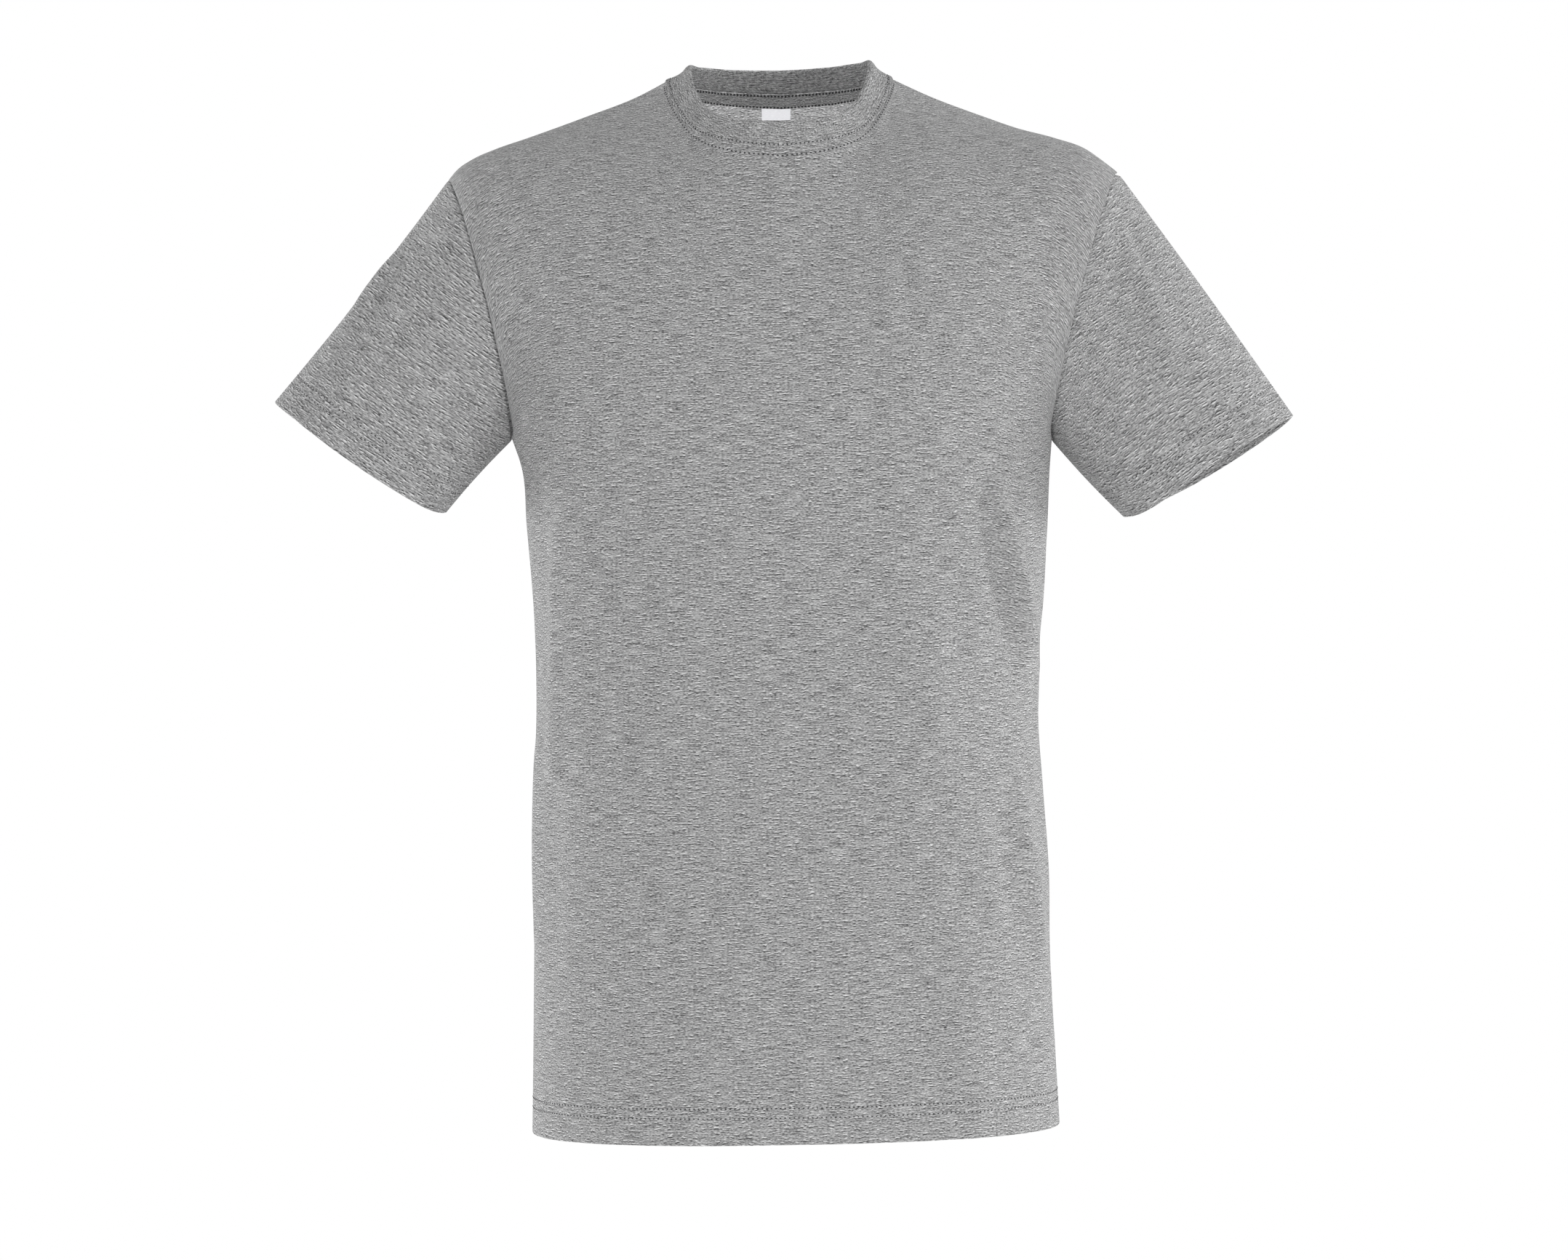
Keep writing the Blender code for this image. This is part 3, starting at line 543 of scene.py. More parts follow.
NECK_TOP = {"left": 62.5, "right": 59.5, "front": -82, "side": 6, "back": 62,
            "height": "top_height", "squareness": 2.35, "tilt": 0.028}
COLLAR_SAG = 2.2
COLLAR_LINES = (0, 0.4, 1, 1.8, 2.4, 3, 3.6, 4.4, 6)
COLLAR_CELLS = 7
COLLAR_TOP = (3.4, 2, 1.1, 0.5, 0.15, 0)
COLLAR_WALL = 1.9
FOLD = {"wall": 2.8, "reach": 6, "bulge": 0.8, "below": 3}
RIBS = 280
POINTS_A_RIB = 4
RIB_HEIGHT = 0.2
COLLAR_STITCH = 3


def collar_rings(front, back):
    """Rings from the neck seam up to the fold, at the panels' own neckline points."""
    neck = np.abs(fine_columns) <= NECK_HALF + NEAR
    seam = np.concatenate([front[-1, neck], back[-1, neck[::-1]][1:-1]])
    at = fine_columns[neck]
    tops = [neckline(facing, at, NECK_TOP) for facing in (FRONT, BACK)]
    top = np.concatenate([tops[0], tops[1][::-1][1:-1]])
    length = np.linalg.norm(top - seam, axis=1)
    low = np.array(COLLAR_LINES)[:, None] / length
    high = 1 - np.array(COLLAR_TOP)[:, None] / length
    t = np.linspace(0.0, 1.0, COLLAR_CELLS + 1)[1:-1, None]
    share = np.concatenate([low, low[-1] + (high[0] - low[-1]) * t, high])
    grid = seam + (top - seam) * share[..., None]
    level = np.abs(unit(top - seam)[:, 0])
    grid[..., 2] -= COLLAR_SAG * level * np.sin(math.pi * share)
    return grid


collar_grid = collar_rings(front_grid, back_grid)


# Cloth
# Every piece is one layer of cloth with an outer and an inner side. Sewn edges sink a little
# into the seam, and a hem is folded up once to the inside.

LEAST_MITRE = 0.75
SHARP_EDGE = math.radians(60)


def seam_points(grid, closed):
    """The row and column of each point on a piece's sewn edges."""
    sewn = np.zeros(grid.shape[:2], bool)
    if closed:
        sewn[0] = True
    else:
        sewn[-1] = sewn[:, 0] = sewn[:, -1] = True
    return np.argwhere(sewn)


def ways_in(grids):
    """The way through the cloth at each point of each piece, the same on both sides of a seam.

    Front and back count as one body, which weighs as much as the sleeve or collar that meets it.
    """
    own = {name: unit(point_normals(grid, closed)) for name, (grid, closed) in grids.items()}
    body, total = {}, {}
    for name, (grid, closed) in grids.items():
        sums = total if closed else body
        for r, c in seam_points(grid, closed):
            key = tuple(np.round(grid[r, c], 4))
            sums[key] = sums.get(key, 0.0) + own[name][r, c]
    for key, normal in body.items():
        total[key] = total.get(key, 0.0) + unit(normal)
    ways = {}
    for name, (grid, closed) in grids.items():
        shared = own[name].copy()
        for r, c in seam_points(grid, closed):
            shared[r, c] = unit(total[tuple(np.round(grid[r, c], 4))])
        lean = (shared * own[name]).sum(axis=-1, keepdims=True)
        ways[name] = -shared / np.clip(lean, LEAST_MITRE, 1.0)
    return ways


grids = {
    "front": (front_grid, False),
    "back": (back_grid, False),
    "sleeve_left": (sleeve_grids[LEFT], True),
    "sleeve_right": (sleeve_grids[RIGHT], True),
    "collar": (collar_grid, True),
}
ways = ways_in(grids)


def sunk(distance, dip):
    return dip["depth"] * np.exp(-((distance / dip["reach"]) ** 2))


def rolled(distance, radius):
    """How far a side moves in at a folded edge, this far from it."""
    short = np.clip(radius - distance, 0.0, radius)
    return radius - np.sqrt(radius * radius - short * short)


outers = {}


def hemmed(name, from_hem, dip, inner_dip):
    """A piece's outer and inner points. Its cloth is double at the hem, then single."""
    grid, way = grids[name][0], ways[name]
    step = np.clip((HEM["height"] - from_hem) / HEM["step"] + 0.5, 0.0, 1.0)
    stitches = sum(sunk(from_hem - row, STITCH_DIP) for row in HEM_ROWS)
    roll = rolled(from_hem, HEM["roll"])
    wall = inner_dip + (CLOTH + HEM["layer"] * step) - roll * HEM["inner_roll"]
    outers[name] = grid + way * (dip + stitches + roll)[..., None]
    return outers[name], grid + way * wall[..., None]


def placed(name, data):
    """An object in the scene that holds a mesh, a lamp or a camera."""
    made = bpy.data.objects.new(name, data)
    bpy.context.scene.collection.objects.link(made)
    return made


def piece_mesh(name, outer, inner, across, up, closed, material):
    """One closed wall of cloth. Its UV map holds the distances along the cloth in metres."""
    rows, columns = outer.shape[:2]
    wide = columns + 1 if closed else columns
    r, c = np.meshgrid(np.arange(rows - 1), np.arange(wide - 1), indexing="ij")
    r, c = r.ravel(), c.ravel()
    low, high = np.arange(wide - 1), np.arange(rows - 1)
    top, end = rows - 1, columns - 1
    layers = [
        ((0, r, c), (0, r, c + 1), (0, r + 1, c + 1), (0, r + 1, c)),
        ((1, r, c), (1, r + 1, c), (1, r + 1, c + 1), (1, r, c + 1)),
        ((0, 0, low + 1), (0, 0, low), (1, 0, low), (1, 0, low + 1)),
        ((1, top, low + 1), (1, top, low), (0, top, low), (0, top, low + 1)),
    ]
    if not closed:
        layers += [
            ((1, high + 1, 0), (1, high, 0), (0, high, 0), (0, high + 1, 0)),
            ((0, high + 1, end), (0, high, end), (1, high, end), (1, high + 1, end)),
        ]
    faces, maps = [], []
    for corners in layers:
        faces.append(np.stack([side * rows * columns + row * columns + column % columns
                               for side, row, column in corners], axis=1))
        maps.append(np.stack([np.stack([across[row, column], up[row, column % columns]], axis=1)
                              for _, row, column in corners], axis=1))
    mesh = bpy.data.meshes.new(name)
    points = np.concatenate([outer.reshape(-1, 3), inner.reshape(-1, 3)]) * MM
    mesh.from_pydata(points.tolist(), [], np.concatenate(faces).tolist())
    cloth_map = mesh.uv_layers.new(name="cloth")
    cloth_map.data.foreach_set("uv", (np.concatenate(maps).reshape(-1) * MM).astype(np.float32))
    mesh.materials.append(material)
    mesh.shade_smooth()
    mesh.set_sharp_from_angle(angle=SHARP_EDGE)
    made = placed(name + "_cloth", mesh)
    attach(made, "root")
    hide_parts(name)
    return made


# Jersey
# Fine single knit in a blend of light and dark grey fibres, which lie along the courses as short
# streaks. Each light fleck has a painted shadow under it, and the loops are a fine relief.


class Shade:
    """A socket of a tree of nodes. Arithmetic on it adds Math nodes."""

    def __init__(self, tree, socket=None):
        self.tree = tree
        self.socket = socket

    def node(self, kind, settings, sockets, out=0):
        """A node with its settings, then its sockets as values or links."""
        made = self.tree.nodes.new(kind)
        for name, value in settings.items():
            setattr(made, name, value)
        for name, value in sockets.items():
            if isinstance(value, Shade):
                self.tree.links.new(value.socket, made.inputs[name])
            else:
                made.inputs[name].default_value = value
        return Shade(self.tree, made.outputs[out])

    def math(self, operation, first, second=0.0):
        return self.node("ShaderNodeMath", {"operation": operation}, {0: first, 1: second})

    def __add__(self, other):
        return self.math("ADD", self, other)

    __radd__ = __add__

    def __sub__(self, other):
        return self.math("SUBTRACT", self, other)

    def __rsub__(self, other):
        return self.math("SUBTRACT", other, self)

    def __mul__(self, other):
        return self.math("MULTIPLY", self, other)

    __rmul__ = __mul__

    def __truediv__(self, other):
        return self.math("DIVIDE", self, other)

    def __abs__(self):
        return self.math("ABSOLUTE", self)

    def within(self, low, high):
        """0 below low, 1 above high and a smooth step between."""
        return self.node("ShaderNodeMapRange", {"interpolation_type": "SMOOTHSTEP"},
                         {"Value": self, "From Min": low, "From Max": high})

    def wave(self, length):
        """A sine of this wavelength, from -1 to 1."""
        return self.math("SINE", self * (2 * math.pi / length))

    def grain(self, across, up, lengths, seed, detail=1.0, roughness=0.5):
        """Noise whose cells have these lengths across and up."""
        place = self.node("ShaderNodeCombineXYZ", {},
                          {"X": across / lengths[0] + seed, "Y": up / lengths[1] + seed * 0.37})
        return self.node("ShaderNodeTexNoise", {"noise_dimensions": "2D"},
                         {"Vector": place, "Scale": 1.0, "Detail": detail,
                          "Roughness": roughness})


HEATHER_DARK = (0.06, 0.06, 0.061)
HEATHER_LIGHT = (0.80, 0.80, 0.802)
TONE = 0.375
STREAK = {"length": 5.5, "height": 0.78}
# under sets how dark the painted shadow under each light fleck is.
FLECKS = {"cloud": 0.1, "streak": 0.72, "speck": 0.85, "dark": 0.16, "light": 0.5, "under": 0.36}
# How far along the cloth the painted shadow lies from its light fleck.
FLECK_SHADOW_DROP = 0.75
FLECK_SHARE = {"dark": (0.62, 0.7), "light": (0.6, 0.71)}
WALE = 0.86
COURSE = 0.66


def principled(name, roughness):
    """A new material, with its shader and the class above on its nodes."""
    material = bpy.data.materials.new(name)
    material.use_nodes = True
    shader = material.node_tree.nodes["Principled BSDF"]
    shader.inputs["Roughness"].default_value = roughness
    return material, shader, Shade(material.node_tree)


def cloth_place(shade):
    """Distances across and up the cloth in millimetres, from the cloth's own map in metres."""
    place = shade.node("ShaderNodeUVMap", {"uv_map": "cloth"}, {})
    parts = shade.node("ShaderNodeSeparateXYZ", {}, {0: place})
    up = Shade(shade.tree, parts.socket.node.outputs[1])
    return parts * (1 / MM), up * (1 / MM)


def two_tone(shade, shader, share, first, second):
    """Colour the surface between two colours."""
    mixed = shade.node("ShaderNodeMix", {"data_type": "RGBA"},
                       {"Factor": share, "A": (*first, 1.0), "B": (*second, 1.0)}, 2)
    shade.tree.links.new(mixed.socket, shader.inputs["Base Color"])


def relief_on(shade, shader, height, strength, distance):
    bump = shade.node("ShaderNodeBump", {},
                      {"Strength": strength, "Distance": distance, "Height": height})
    shade.tree.links.new(bump.socket, shader.inputs["Normal"])


def knit_material(name, seed, curl, reach, thin, tone=TONE, ribbed=False):
    """Heather grey knit. curl is how far its courses wander, and reach and thin scale a streak."""
    material, shader, shade = principled(name, 0.92)
    across, up = cloth_place(shade)
    length, height = STREAK["length"] * reach, STREAK["height"] * thin
    drift = shade.grain(across, up, (24.0, 16.0), seed + 0.5)
    level = up + (drift - 0.5) * curl
    cloud = shade.grain(across, level, (26.0, 4.5), seed + 23.3, 2.0, 0.6)
    streak = shade.grain(across, level, (length * 2.4, height), seed + 3.1, 2.0, 0.5)
    speck = shade.grain(across, level, (1.5 * reach, height * 0.8), seed + 31.9, 1.0)
    dark = shade.grain(across, level, (length * 0.6, height * 0.8), seed + 11.7, 1.0)
    # light is the light flecks. under is the same flecks moved along the cloth and taken off, a
    # painted shadow just under each one.
    light, under = (shade.grain(across, at, (length * 0.7, height * 0.85), seed + 47.1, 1.0)
                    for at in (level, level + FLECK_SHADOW_DROP))
    depth = (tone + (cloud - 0.5) * FLECKS["cloud"] + (streak - 0.5) * FLECKS["streak"]
             + (speck - 0.5) * FLECKS["speck"]
             - dark.within(*FLECK_SHARE["dark"]) * FLECKS["dark"]
             + light.within(*FLECK_SHARE["light"]) * FLECKS["light"]
             - under.within(*FLECK_SHARE["light"]) * FLECKS["under"])
    two_tone(shade, shader, depth, HEATHER_DARK, HEATHER_LIGHT)
    shader.inputs["Specular IOR Level"].default_value = 0.25
    shader.inputs["Sheen Weight"].default_value = 0.14
    shader.inputs["Sheen Roughness"].default_value = 0.6
    leg = abs(across.wave(2 * WALE))
    loops = (up + leg * (COURSE * 0.6)).wave(COURSE)
    relief = leg * 0.5 + loops * 0.25 + (speck - 0.5) * 0.9
    if ribbed:
        relief = loops * 0.2 + (speck - 0.5) * 0.8
    relief_on(shade, shader, relief, 0.35, 0.3 * MM)
    return material


BODY_KNIT = {"curl": 1.5, "reach": 1.15, "thin": 1.15}
SLEEVE_KNIT = {"curl": 0.5, "reach": 1.5, "thin": 1.4}
jersey_front = knit_material("heather_jersey_front", 0.0, **BODY_KNIT)
jersey_back = knit_material("heather_jersey_back", 60.0, **BODY_KNIT)
jersey_sleeves = knit_material("heather_jersey_sleeves", 130.0, **SLEEVE_KNIT)


def panel_piece(name, material):
    """The front or the back: seams at the sides, armholes, shoulders and neck, and a hem."""
    grid, _ = grids[name]
    across, up = across_and_up(grid)
    from_side = np.minimum(across, across[:, -1:] - across)
    from_top = up[-1] - up
    neck = np.abs(fine_columns) < NECK_HALF
    below_armpit = np.arange(len(grid))[:, None] < armpit_row
    side_dip = np.where(below_armpit, sunk(from_side, SIDE_GROOVE), sunk(from_side, ARMHOLE_EDGE))
    top_dip = np.where(neck, sunk(from_top, NECK_GROOVE), sunk(from_top, SHOULDER_GROOVE))
    stitches = sunk(from_top - NECK_STITCH, STITCH_DIP) * neck
    outer, inner = hemmed(name, up, np.maximum(side_dip, top_dip) + stitches, 0.0)
    across = across - across[:, [across.shape[1] // 2]]
    return piece_mesh(name, outer, inner, across, up, False, material)


front_piece = panel_piece("front", jersey_front)
back_piece = panel_piece("back", jersey_back)


# Sleeve cloth
# The sleeves' jersey, sewn in with its edge under the body's at the armhole: deep on the left but
# for the shoulder's tip, and on the right deep only at that tip.

ARMHOLE_SINK = {
    LEFT: {"depth": 2.3, "tip": -2, "reach": 1.5},
    RIGHT: {"depth": 1, "tip": 1.6, "reach": 2},
}
TIP_REACH = 14


def sleeve_piece(name, side):
    grid, _ = grids[name]
    sink = ARMHOLE_SINK[side]
    across, up = across_and_up(grid, True)
    from_hem = up[-1] - up
    tip = np.array([SHOULDER_LINES[side][0][0] * side, 0.0, SHOULDER_LINES[side][0][1]])
    from_tip = np.linalg.norm(grid[0] - tip, axis=1)
    depth = sink["depth"] + sink["tip"] * np.exp(-((from_tip / TIP_REACH) ** 2))
    under = depth * np.exp(-((up / sink["reach"]) ** 2))
    outer, inner = hemmed(name, from_hem, under, under)
    return piece_mesh(name, outer, inner, across, -from_hem, True, jersey_sleeves)


sleeve_left_piece = sleeve_piece("sleeve_left", LEFT)
sleeve_right_piece = sleeve_piece("sleeve_right", RIGHT)


# Collar rib
# The same yarn knitted one by one, a little darker where it lies double. The ribs run up from the
# seam and over the fold, and are worked into both sides of the band.

RIB_START = 1.5
RIB_KNIT = {"ribbed": True, "curl": 1.0, "reach": 0.8, "thin": 0.9}
rib_knit = knit_material("heather_rib", 200.0, tone=TONE - 0.01, **RIB_KNIT)


def around_ring(ring, count):
    """Places of evenly spaced points on a closed ring, as fractions of its points."""
    run = run_along(np.concatenate([ring, ring[:1]]))
    return np.interp(np.linspace(0.0, run[-1], count, endpoint=False), run, np.arange(len(run)))


def at_places(grid, places):
    low = places.astype(int)
    f = (places - low)[:, None]
    return grid[:, low % grid.shape[1]] * (1 - f) + grid[:, (low + 1) % grid.shape[1]] * f


places = around_ring(collar_grid[0], RIBS * POINTS_A_RIB)
rib_grid = at_places(collar_grid, places)
rib_way = at_places(ways["collar"], places)
rib_across, rib_up = across_and_up(rib_grid, True)
from_fold = rib_up[-1] - rib_up
turned = rolled(from_fold, FOLD["wall"] / 2)
bulge = FOLD["bulge"] * np.exp(-(((from_fold - FOLD["below"]) / FOLD["below"]) ** 2))
rib_wave = np.cos(2 * math.pi * np.arange(len(places)) / POINTS_A_RIB) * RIB_HEIGHT
rib_start = np.clip(rib_up / RIB_START, 0.0, 1.0)
rib_rise = rib_wave * rib_start
collar_dip = sunk(rib_up, NECK_GROOVE) + sunk(rib_up - COLLAR_STITCH, STITCH_DIP)
collar_outer = rib_grid + rib_way * (collar_dip + turned - rib_rise - bulge)[..., None]
collar_wall = CLOTH + (COLLAR_WALL - CLOTH) * rib_start
collar_wall = collar_wall + (FOLD["wall"] - COLLAR_WALL) * np.exp(-((from_fold / FOLD["reach"]) ** 2))
collar_inner = rib_grid + rib_way * (collar_wall - turned + rib_rise)[..., None]
collar_piece = piece_mesh("collar", collar_outer, collar_inner, rib_across, rib_up, True, rib_knit)


# Neck tape
# A narrow strip of plain cloth that covers the collar's seam inside the back neck. It is laid
# over the seam and stitched along both edges.

TAPE = {"top": 1, "width": 8.8, "thick": 0.8, "lift": 0.1, "end": 0.25, "columns": 90}
TAPE_ROWS = (1, 0.96, 0.86, 0.7, 0.5, 0.3, 0.14, 0.04, 0)


def back_inside(columns, distances):
    """Points of the back's inner side, at columns from the centre and distances under the neck."""
    inner = grids["back"][0] + ways["back"] * CLOTH
    at = -fine_columns[::-1]
    lines = []
    for column in columns:
        place = np.interp(column, at, np.arange(len(at)))
        low = int(min(place, len(at) - 2))
        line = (inner[:, low] * (low + 1 - place) + inner[:, low + 1] * (place - low))[::-1]
        lines.append(points_at(line, run_along(line), distances))
    return np.stack(lines, axis=1)


def strip_inside(name, columns, distances, thick, lift, material):
    """A thin strip that lies on the inside of the back."""
    base = back_inside(columns, distances)
    way = -unit(point_normals(base, False))
    near = base + way * lift
    far = near + way * thick
    across, up = across_and_up(far[:, ::-1])
    made = piece_mesh(name, far[:, ::-1], near[:, ::-1], across, up, False, material)
    return made, far


tape_distances = TAPE["top"] + TAPE["width"] * np.array(TAPE_ROWS)
tape_columns = np.linspace(TAPE["end"] - NECK_HALF, NECK_HALF - TAPE["end"], TAPE["columns"])
tape_knit = knit_material("tape_cloth", 260.0, tone=TONE + 0.05, **RIB_KNIT)
tape_piece, tape_face = strip_inside("neck_tape", tape_columns, tape_distances, TAPE["thick"],
                                     TAPE["lift"], tape_knit)


# Label
# A small white satin ribbon tucked under the tape in the middle of the back, and held by the
# tape's lower row of stitches. It is left bare.

LABEL = {"left": -14, "right": 6, "length": 12, "thick": 0.4, "gap": 0.5, "lift": 0.3}
LABEL_CELLS = {"across": 13, "down": 9, "search": 200}
SATIN = {"dark": (0.68, 0.68, 0.71), "light": (0.84, 0.84, 0.86), "float": (2.2, 0.3)}

satin, satin_shader, satin_shade = principled("white_satin", 0.42)
satin_across, satin_up = cloth_place(satin_shade)
floats = satin_shade.grain(satin_across, satin_up, SATIN["float"], 5.0, 1.0)
two_tone(satin_shade, satin_shader, floats, SATIN["dark"], SATIN["light"])
relief_on(satin_shade, satin_shader, satin_up.wave(SATIN["float"][1]), 0.3, 0.1 * MM)

label_top = TAPE["top"] + TAPE["width"] + LABEL["gap"]
search = np.linspace(-NECK_HALF, NECK_HALF, LABEL_CELLS["search"])
spots = back_inside(search, [label_top])[0]
order = np.argsort(spots[:, 0])
label_ends = np.interp([LABEL["left"], LABEL["right"]], spots[order, 0], search[order])
label_columns = np.linspace(label_ends.min(), label_ends.max(), LABEL_CELLS["across"])
label_distances = label_top + LABEL["length"] * np.linspace(1.0, 0.0, LABEL_CELLS["down"])
label_piece, _ = strip_inside("label", label_columns, label_distances, LABEL["thick"],
                              LABEL["lift"], satin)


# Stitches
# Twin rows of thread hold the hems, and one row runs on each side of the neck seam. Each stitch
# is a short rounded piece of thread, half sunk in the cloth.

NECK_STITCH_END = 0.2
STITCH = {"Pitch": 3.2, "Length": 2.2, "Thread": 0.55, "Hole": 1.1}
# The pitch of each row's stitches, and the size of the dark ball of painted shade in each needle
# hole.
SEWN = {"hem": (3, 1.15), "cuff": (3, 1.05), "neck": (3.2, 1.5), "collar": (3.2, 1.3),
        "tape": (2.4, 1.7)}


def fuzzy(name, roughness, scale, dark, light):
    """Yarn, or the dark ball that paints the shade in a needle hole, mottled in the object's own
    space.
    """
    material, shader, shade = principled(name, roughness)
    place = shade.node("ShaderNodeTexCoord", {}, {}, 3)
    fuzz = shade.node("ShaderNodeTexNoise", {"noise_dimensions": "3D"},
                      {"Vector": place, "Scale": scale, "Detail": 1.0})
    two_tone(shade, shader, fuzz, dark, light)
    return material


# The needle holes are dark balls between the stitches: painted shade where the thread goes into the
# cloth.
painted_hole_shade = fuzzy("painted_hole_shade", 0.95, 1500.0, (0.02, 0.02, 0.021), (0.09, 0.09, 0.092))
thread = fuzzy("grey_thread", 0.8, 900.0, (0.36, 0.36, 0.365), (0.62, 0.62, 0.63))


def stitch_tree():
    """Stitches along lines: a rounded piece of thread at each step, turned to follow the line."""
    tree = bpy.data.node_groups.new("stitches", "GeometryNodeTree")
    face = tree.interface
    face.new_socket("Geometry", in_out="INPUT", socket_type="NodeSocketGeometry")
    for name, value in STITCH.items():
        socket = face.new_socket(name, in_out="INPUT", socket_type="NodeSocketFloat")
        socket.default_value = value * MM
    face.new_socket("Seed", in_out="INPUT", socket_type="NodeSocketInt").default_value = 1
    face.new_socket("Geometry", in_out="OUTPUT", socket_type="NodeSocketGeometry")
    given = tree.nodes.new("NodeGroupInput")
    lines, pitch, length, yarn, hole, seed = (Shade(tree, out) for out in given.outputs[:6])
    sew = Shade(tree)
    line = sew.node("GeometryNodeMeshToCurve", {}, {"Mesh": lines})
    steps = sew.node("GeometryNodeResampleCurve", {"mode": "LENGTH"},
                     {"Curve": line, "Length": pitch * 0.5})
    ball = sew.node("GeometryNodeMeshUVSphere", {}, {"Segments": 6, "Rings": 5, "Radius": 0.5})
    turn = sew.node("FunctionNodeAlignEulerToVector", {"axis": "X"},
                    {"Vector": sew.node("GeometryNodeInputTangent", {}, {})})
    odd = sew.math("MODULO", sew.node("GeometryNodeInputIndex", {}, {}), 2.0)
    vary = sew.node("FunctionNodeRandomValue", {"data_type": "FLOAT"},
                    {"Min": 0.88, "Max": 1.08, "Seed": seed}, "Value")
    size = sew.node("ShaderNodeCombineXYZ", {}, {"X": length * vary, "Y": yarn, "Z": yarn})
    low = hole * 0.8
    wide = sew.node("ShaderNodeCombineXYZ", {}, {"X": hole, "Y": low, "Z": low})
    join = tree.nodes.new("GeometryNodeJoinGeometry")
    # Even steps get thread. Odd steps get a flattened dark ball, the painted shade of a needle hole.
    for chosen, scale, finish in ((1.0 - odd, size, thread), (odd, wide, painted_hole_shade)):
        made = sew.node("GeometryNodeInstanceOnPoints", {},
                        {"Points": steps, "Instance": ball, "Selection": chosen,
                         "Rotation": turn, "Scale": scale})
        real = sew.node("GeometryNodeRealizeInstances", {}, {"Geometry": made})
        soft = sew.node("GeometryNodeSetShadeSmooth", {}, {"Geometry": real})
        sewn = sew.node("GeometryNodeSetMaterial", {}, {"Geometry": soft, "Material": finish})
        tree.links.new(sewn.socket, join.inputs[0])
    tree.links.new(join.outputs[0], tree.nodes.new("NodeGroupOutput").inputs[0])
    return tree


stitches = stitch_tree()


def row_line(grid, distances, distance):
    """The line across a piece at this distance along every column."""
    return np.concatenate([points_at(grid[:, c], distances[:, c], [distance])
                           for c in range(grid.shape[1])])


def stitched(name, lines, seed, pitch, hole):
    """A mesh of stitches along lines that are each open or closed. Lengths are millimetres."""
    points, edges = [], []
    for line, closed in lines:
        start = len(points)
        points += (line * MM).tolist()
        edges += [(start + i, start + i + 1) for i in range(len(line) - 1)]
        if closed:
            edges.append((start + len(line) - 1, start))
    path = bpy.data.meshes.new(name)
    path.from_pydata(points, edges, [])
    source = placed(name + "_path", path)
    modifier = source.modifiers.new("stitches", "NODES")
    modifier.node_group = stitches
    ids = {item.name: item.identifier for item in stitches.interface.items_tree
           if item.in_out == "INPUT"}
    for given, value in (("Seed", seed), ("Pitch", pitch * MM), ("Hole", hole * MM)):
        modifier[ids[given]] = value
    graph = bpy.context.evaluated_depsgraph_get()
    mesh = bpy.data.meshes.new_from_object(source.evaluated_get(graph))
    mesh.name = name
    bpy.data.objects.remove(source)
    made = placed(name, mesh)
    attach(made, "root")
    return made


def neck_line(name):
    """The row beside the neck seam of the front or the back."""
    neck = np.abs(fine_columns) <= NECK_HALF - NECK_STITCH_END
    up = across_and_up(grids[name][0])[1]
    from_top = (up[-1] - up)[::-1, neck]
    return row_line(outers[name][::-1, neck], from_top, NECK_STITCH), False


for seed, (name, outer) in enumerate(outers.items(), 1):
    grid, closed = grids[name]
    from_hem = across_and_up(grid, closed)[1]
    if closed:
        from_hem = (from_hem[-1] - from_hem)[::-1]
        outer = outer[::-1]
    lines = [(row_line(outer, from_hem, row), closed) for row in HEM_ROWS]
    pitch_and_hole = SEWN["cuff" if closed else "hem"]
    stitched(name + "_hem_stitches", lines, seed, *pitch_and_hole)
stitched("neck_stitches", [neck_line("front"), neck_line("back")], 5, *SEWN["neck"])
collar_lines = [(row_line(collar_outer, rib_up, COLLAR_STITCH), True)]
collar_stitches = stitched("collar_stitches", collar_lines, 6, *SEWN["collar"])
tape_lines = [(tape_face[1], False), (tape_face[-2], False)]
tape_stitches = stitched("tape_stitches", tape_lines, 7, *SEWN["tape"])


# Floor, light and camera
# A pale floor well below the shirt, soft light from all round with stronger sides, and a level
# camera in front with a long lens.

FLOOR = {"height": -1.25, "half": 3.0}
AMBIENT = 0.665
floor_white, floor_shader, _ = principled("floor_white", 0.9)
floor_shader.inputs["Base Color"].default_value = (0.9, 0.9, 0.9, 1.0)
floor_mesh = bpy.data.meshes.new("floor")
floor_corners = [(x * FLOOR["half"], y * FLOOR["half"], FLOOR["height"])
                 for x, y in ((-1, -1), (1, -1), (1, 1), (-1, 1))]
floor_mesh.from_pydata(floor_corners, [], [(0, 1, 2, 3)])
floor_mesh.materials.append(floor_white)
placed("floor", floor_mesh)

world = bpy.data.worlds.new("studio")
bpy.context.scene.world = world
world.use_nodes = True
around = Shade(world.node_tree)
seen = around.node("ShaderNodeLightPath", {}, {})
soft = world.node_tree.nodes["Background"]
soft.inputs["Color"].default_value = (1.0, 1.0, 1.0, 1.0)
strength = around.math("MULTIPLY", seen, 1.0 - AMBIENT) + AMBIENT
world.node_tree.links.new(strength.socket, soft.inputs["Strength"])
bpy.context.scene.view_settings.view_transform = "Standard"


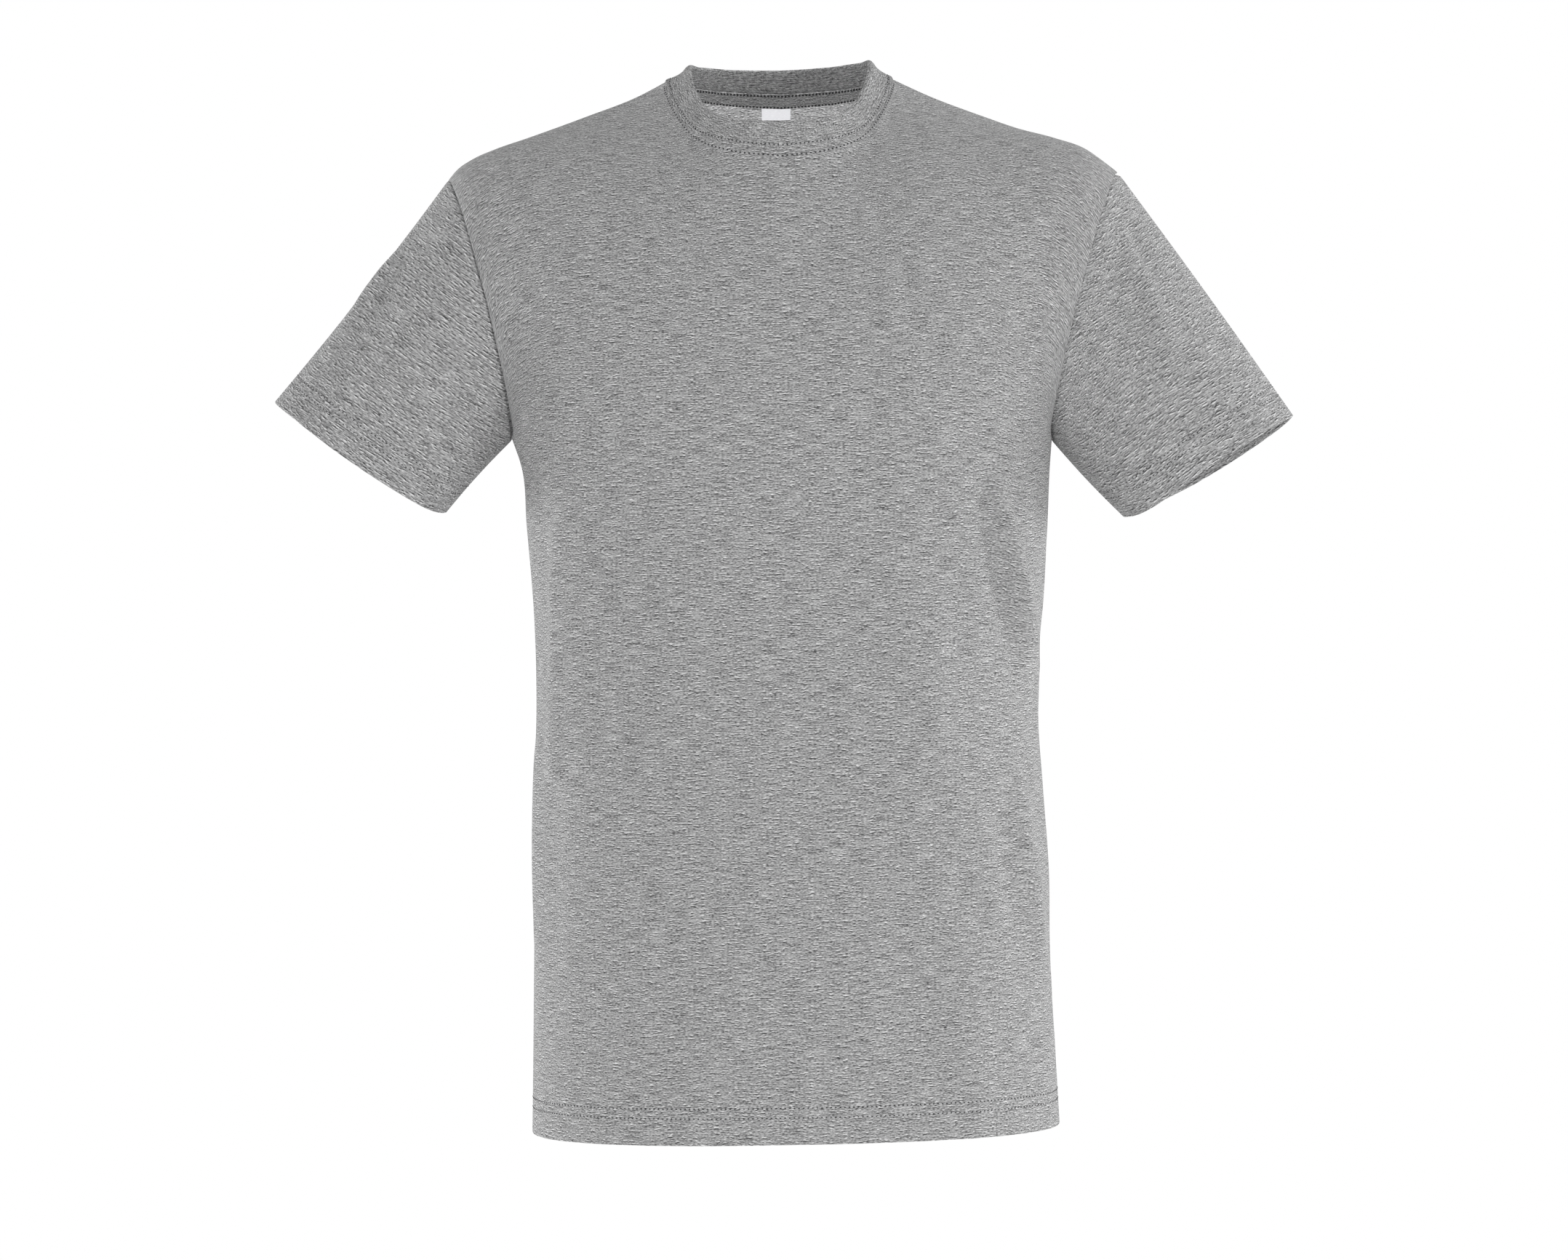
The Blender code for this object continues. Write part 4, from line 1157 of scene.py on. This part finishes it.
def softbox(name, place, aim, size, energy):
    """A square area light that faces a point."""
    data = bpy.data.lights.new(name, "AREA")
    data.shape = "SQUARE"
    data.size = size
    data.energy = energy
    lamp = placed(name, data)
    lamp.location = place
    way = np.array(aim) - np.array(place)
    lamp.rotation_euler = (math.atan2(math.hypot(way[0], way[1]), -way[2]), 0.0,
                           math.atan2(way[1], way[0]) - math.pi / 2)
    return lamp


def light_only(lamp, name, pieces):
    """Light these pieces alone, by a lamp that the camera doesn't see."""
    lamp.visible_camera = False
    lit = bpy.data.collections.new(name)
    for piece in pieces:
        lit.objects.link(piece)
    lamp.light_linking.receiver_collection = lit


MIDDLE = (0, 0, -0.36)
softbox("softbox_left", (-2.4, 0.9, -0.5), MIDDLE, 1, 25)
softbox("softbox_right", (2.5, 0.6, -0.1), MIDDLE, 1, 25)
softbox("softbox_front", (2.1, -2.2, -0.1), MIDDLE, 0.9, 17.5)
softbox("softbox_low", (-0.6, -2.3, -1.05), (-0.1, 0, -0.25), 0.6, 10)
neck_light = softbox("neck_light", (0, -0.03, -0.08), (0, 0.07, -0.02), 0.12, 0.135)
neck_light.data.shape = "RECTANGLE"
neck_light.data.size_y = 0.03
light_only(neck_light, "lit_in_the_neck", (back_piece, label_piece))
rib_light = softbox("rib_light", (0.02, -0.03, -0.05), (0, 0.07, 0), 0.06, 0.019)
light_only(rib_light, "lit_rib_and_tape", (collar_piece, tape_piece))

CAMERA = {"away": 3.5, "height": -0.3557, "lens": 118.63, "sensor": 36}
PHOTO = {"width": 2156, "middle": (1078, 866), "axis": (1075, 832)}
camera_data = bpy.data.cameras.new("camera")
camera_data.lens = CAMERA["lens"]
camera_data.sensor_width = CAMERA["sensor"]
camera_data.shift_x = (PHOTO["middle"][0] - PHOTO["axis"][0]) / PHOTO["width"]
camera_data.shift_y = (PHOTO["axis"][1] - PHOTO["middle"][1]) / PHOTO["width"]
camera = placed("camera", camera_data)
camera.location = (0.0, -CAMERA["away"], CAMERA["height"])
camera.rotation_euler = (math.pi / 2, 0.0, 0.0)
bpy.context.scene.camera = camera
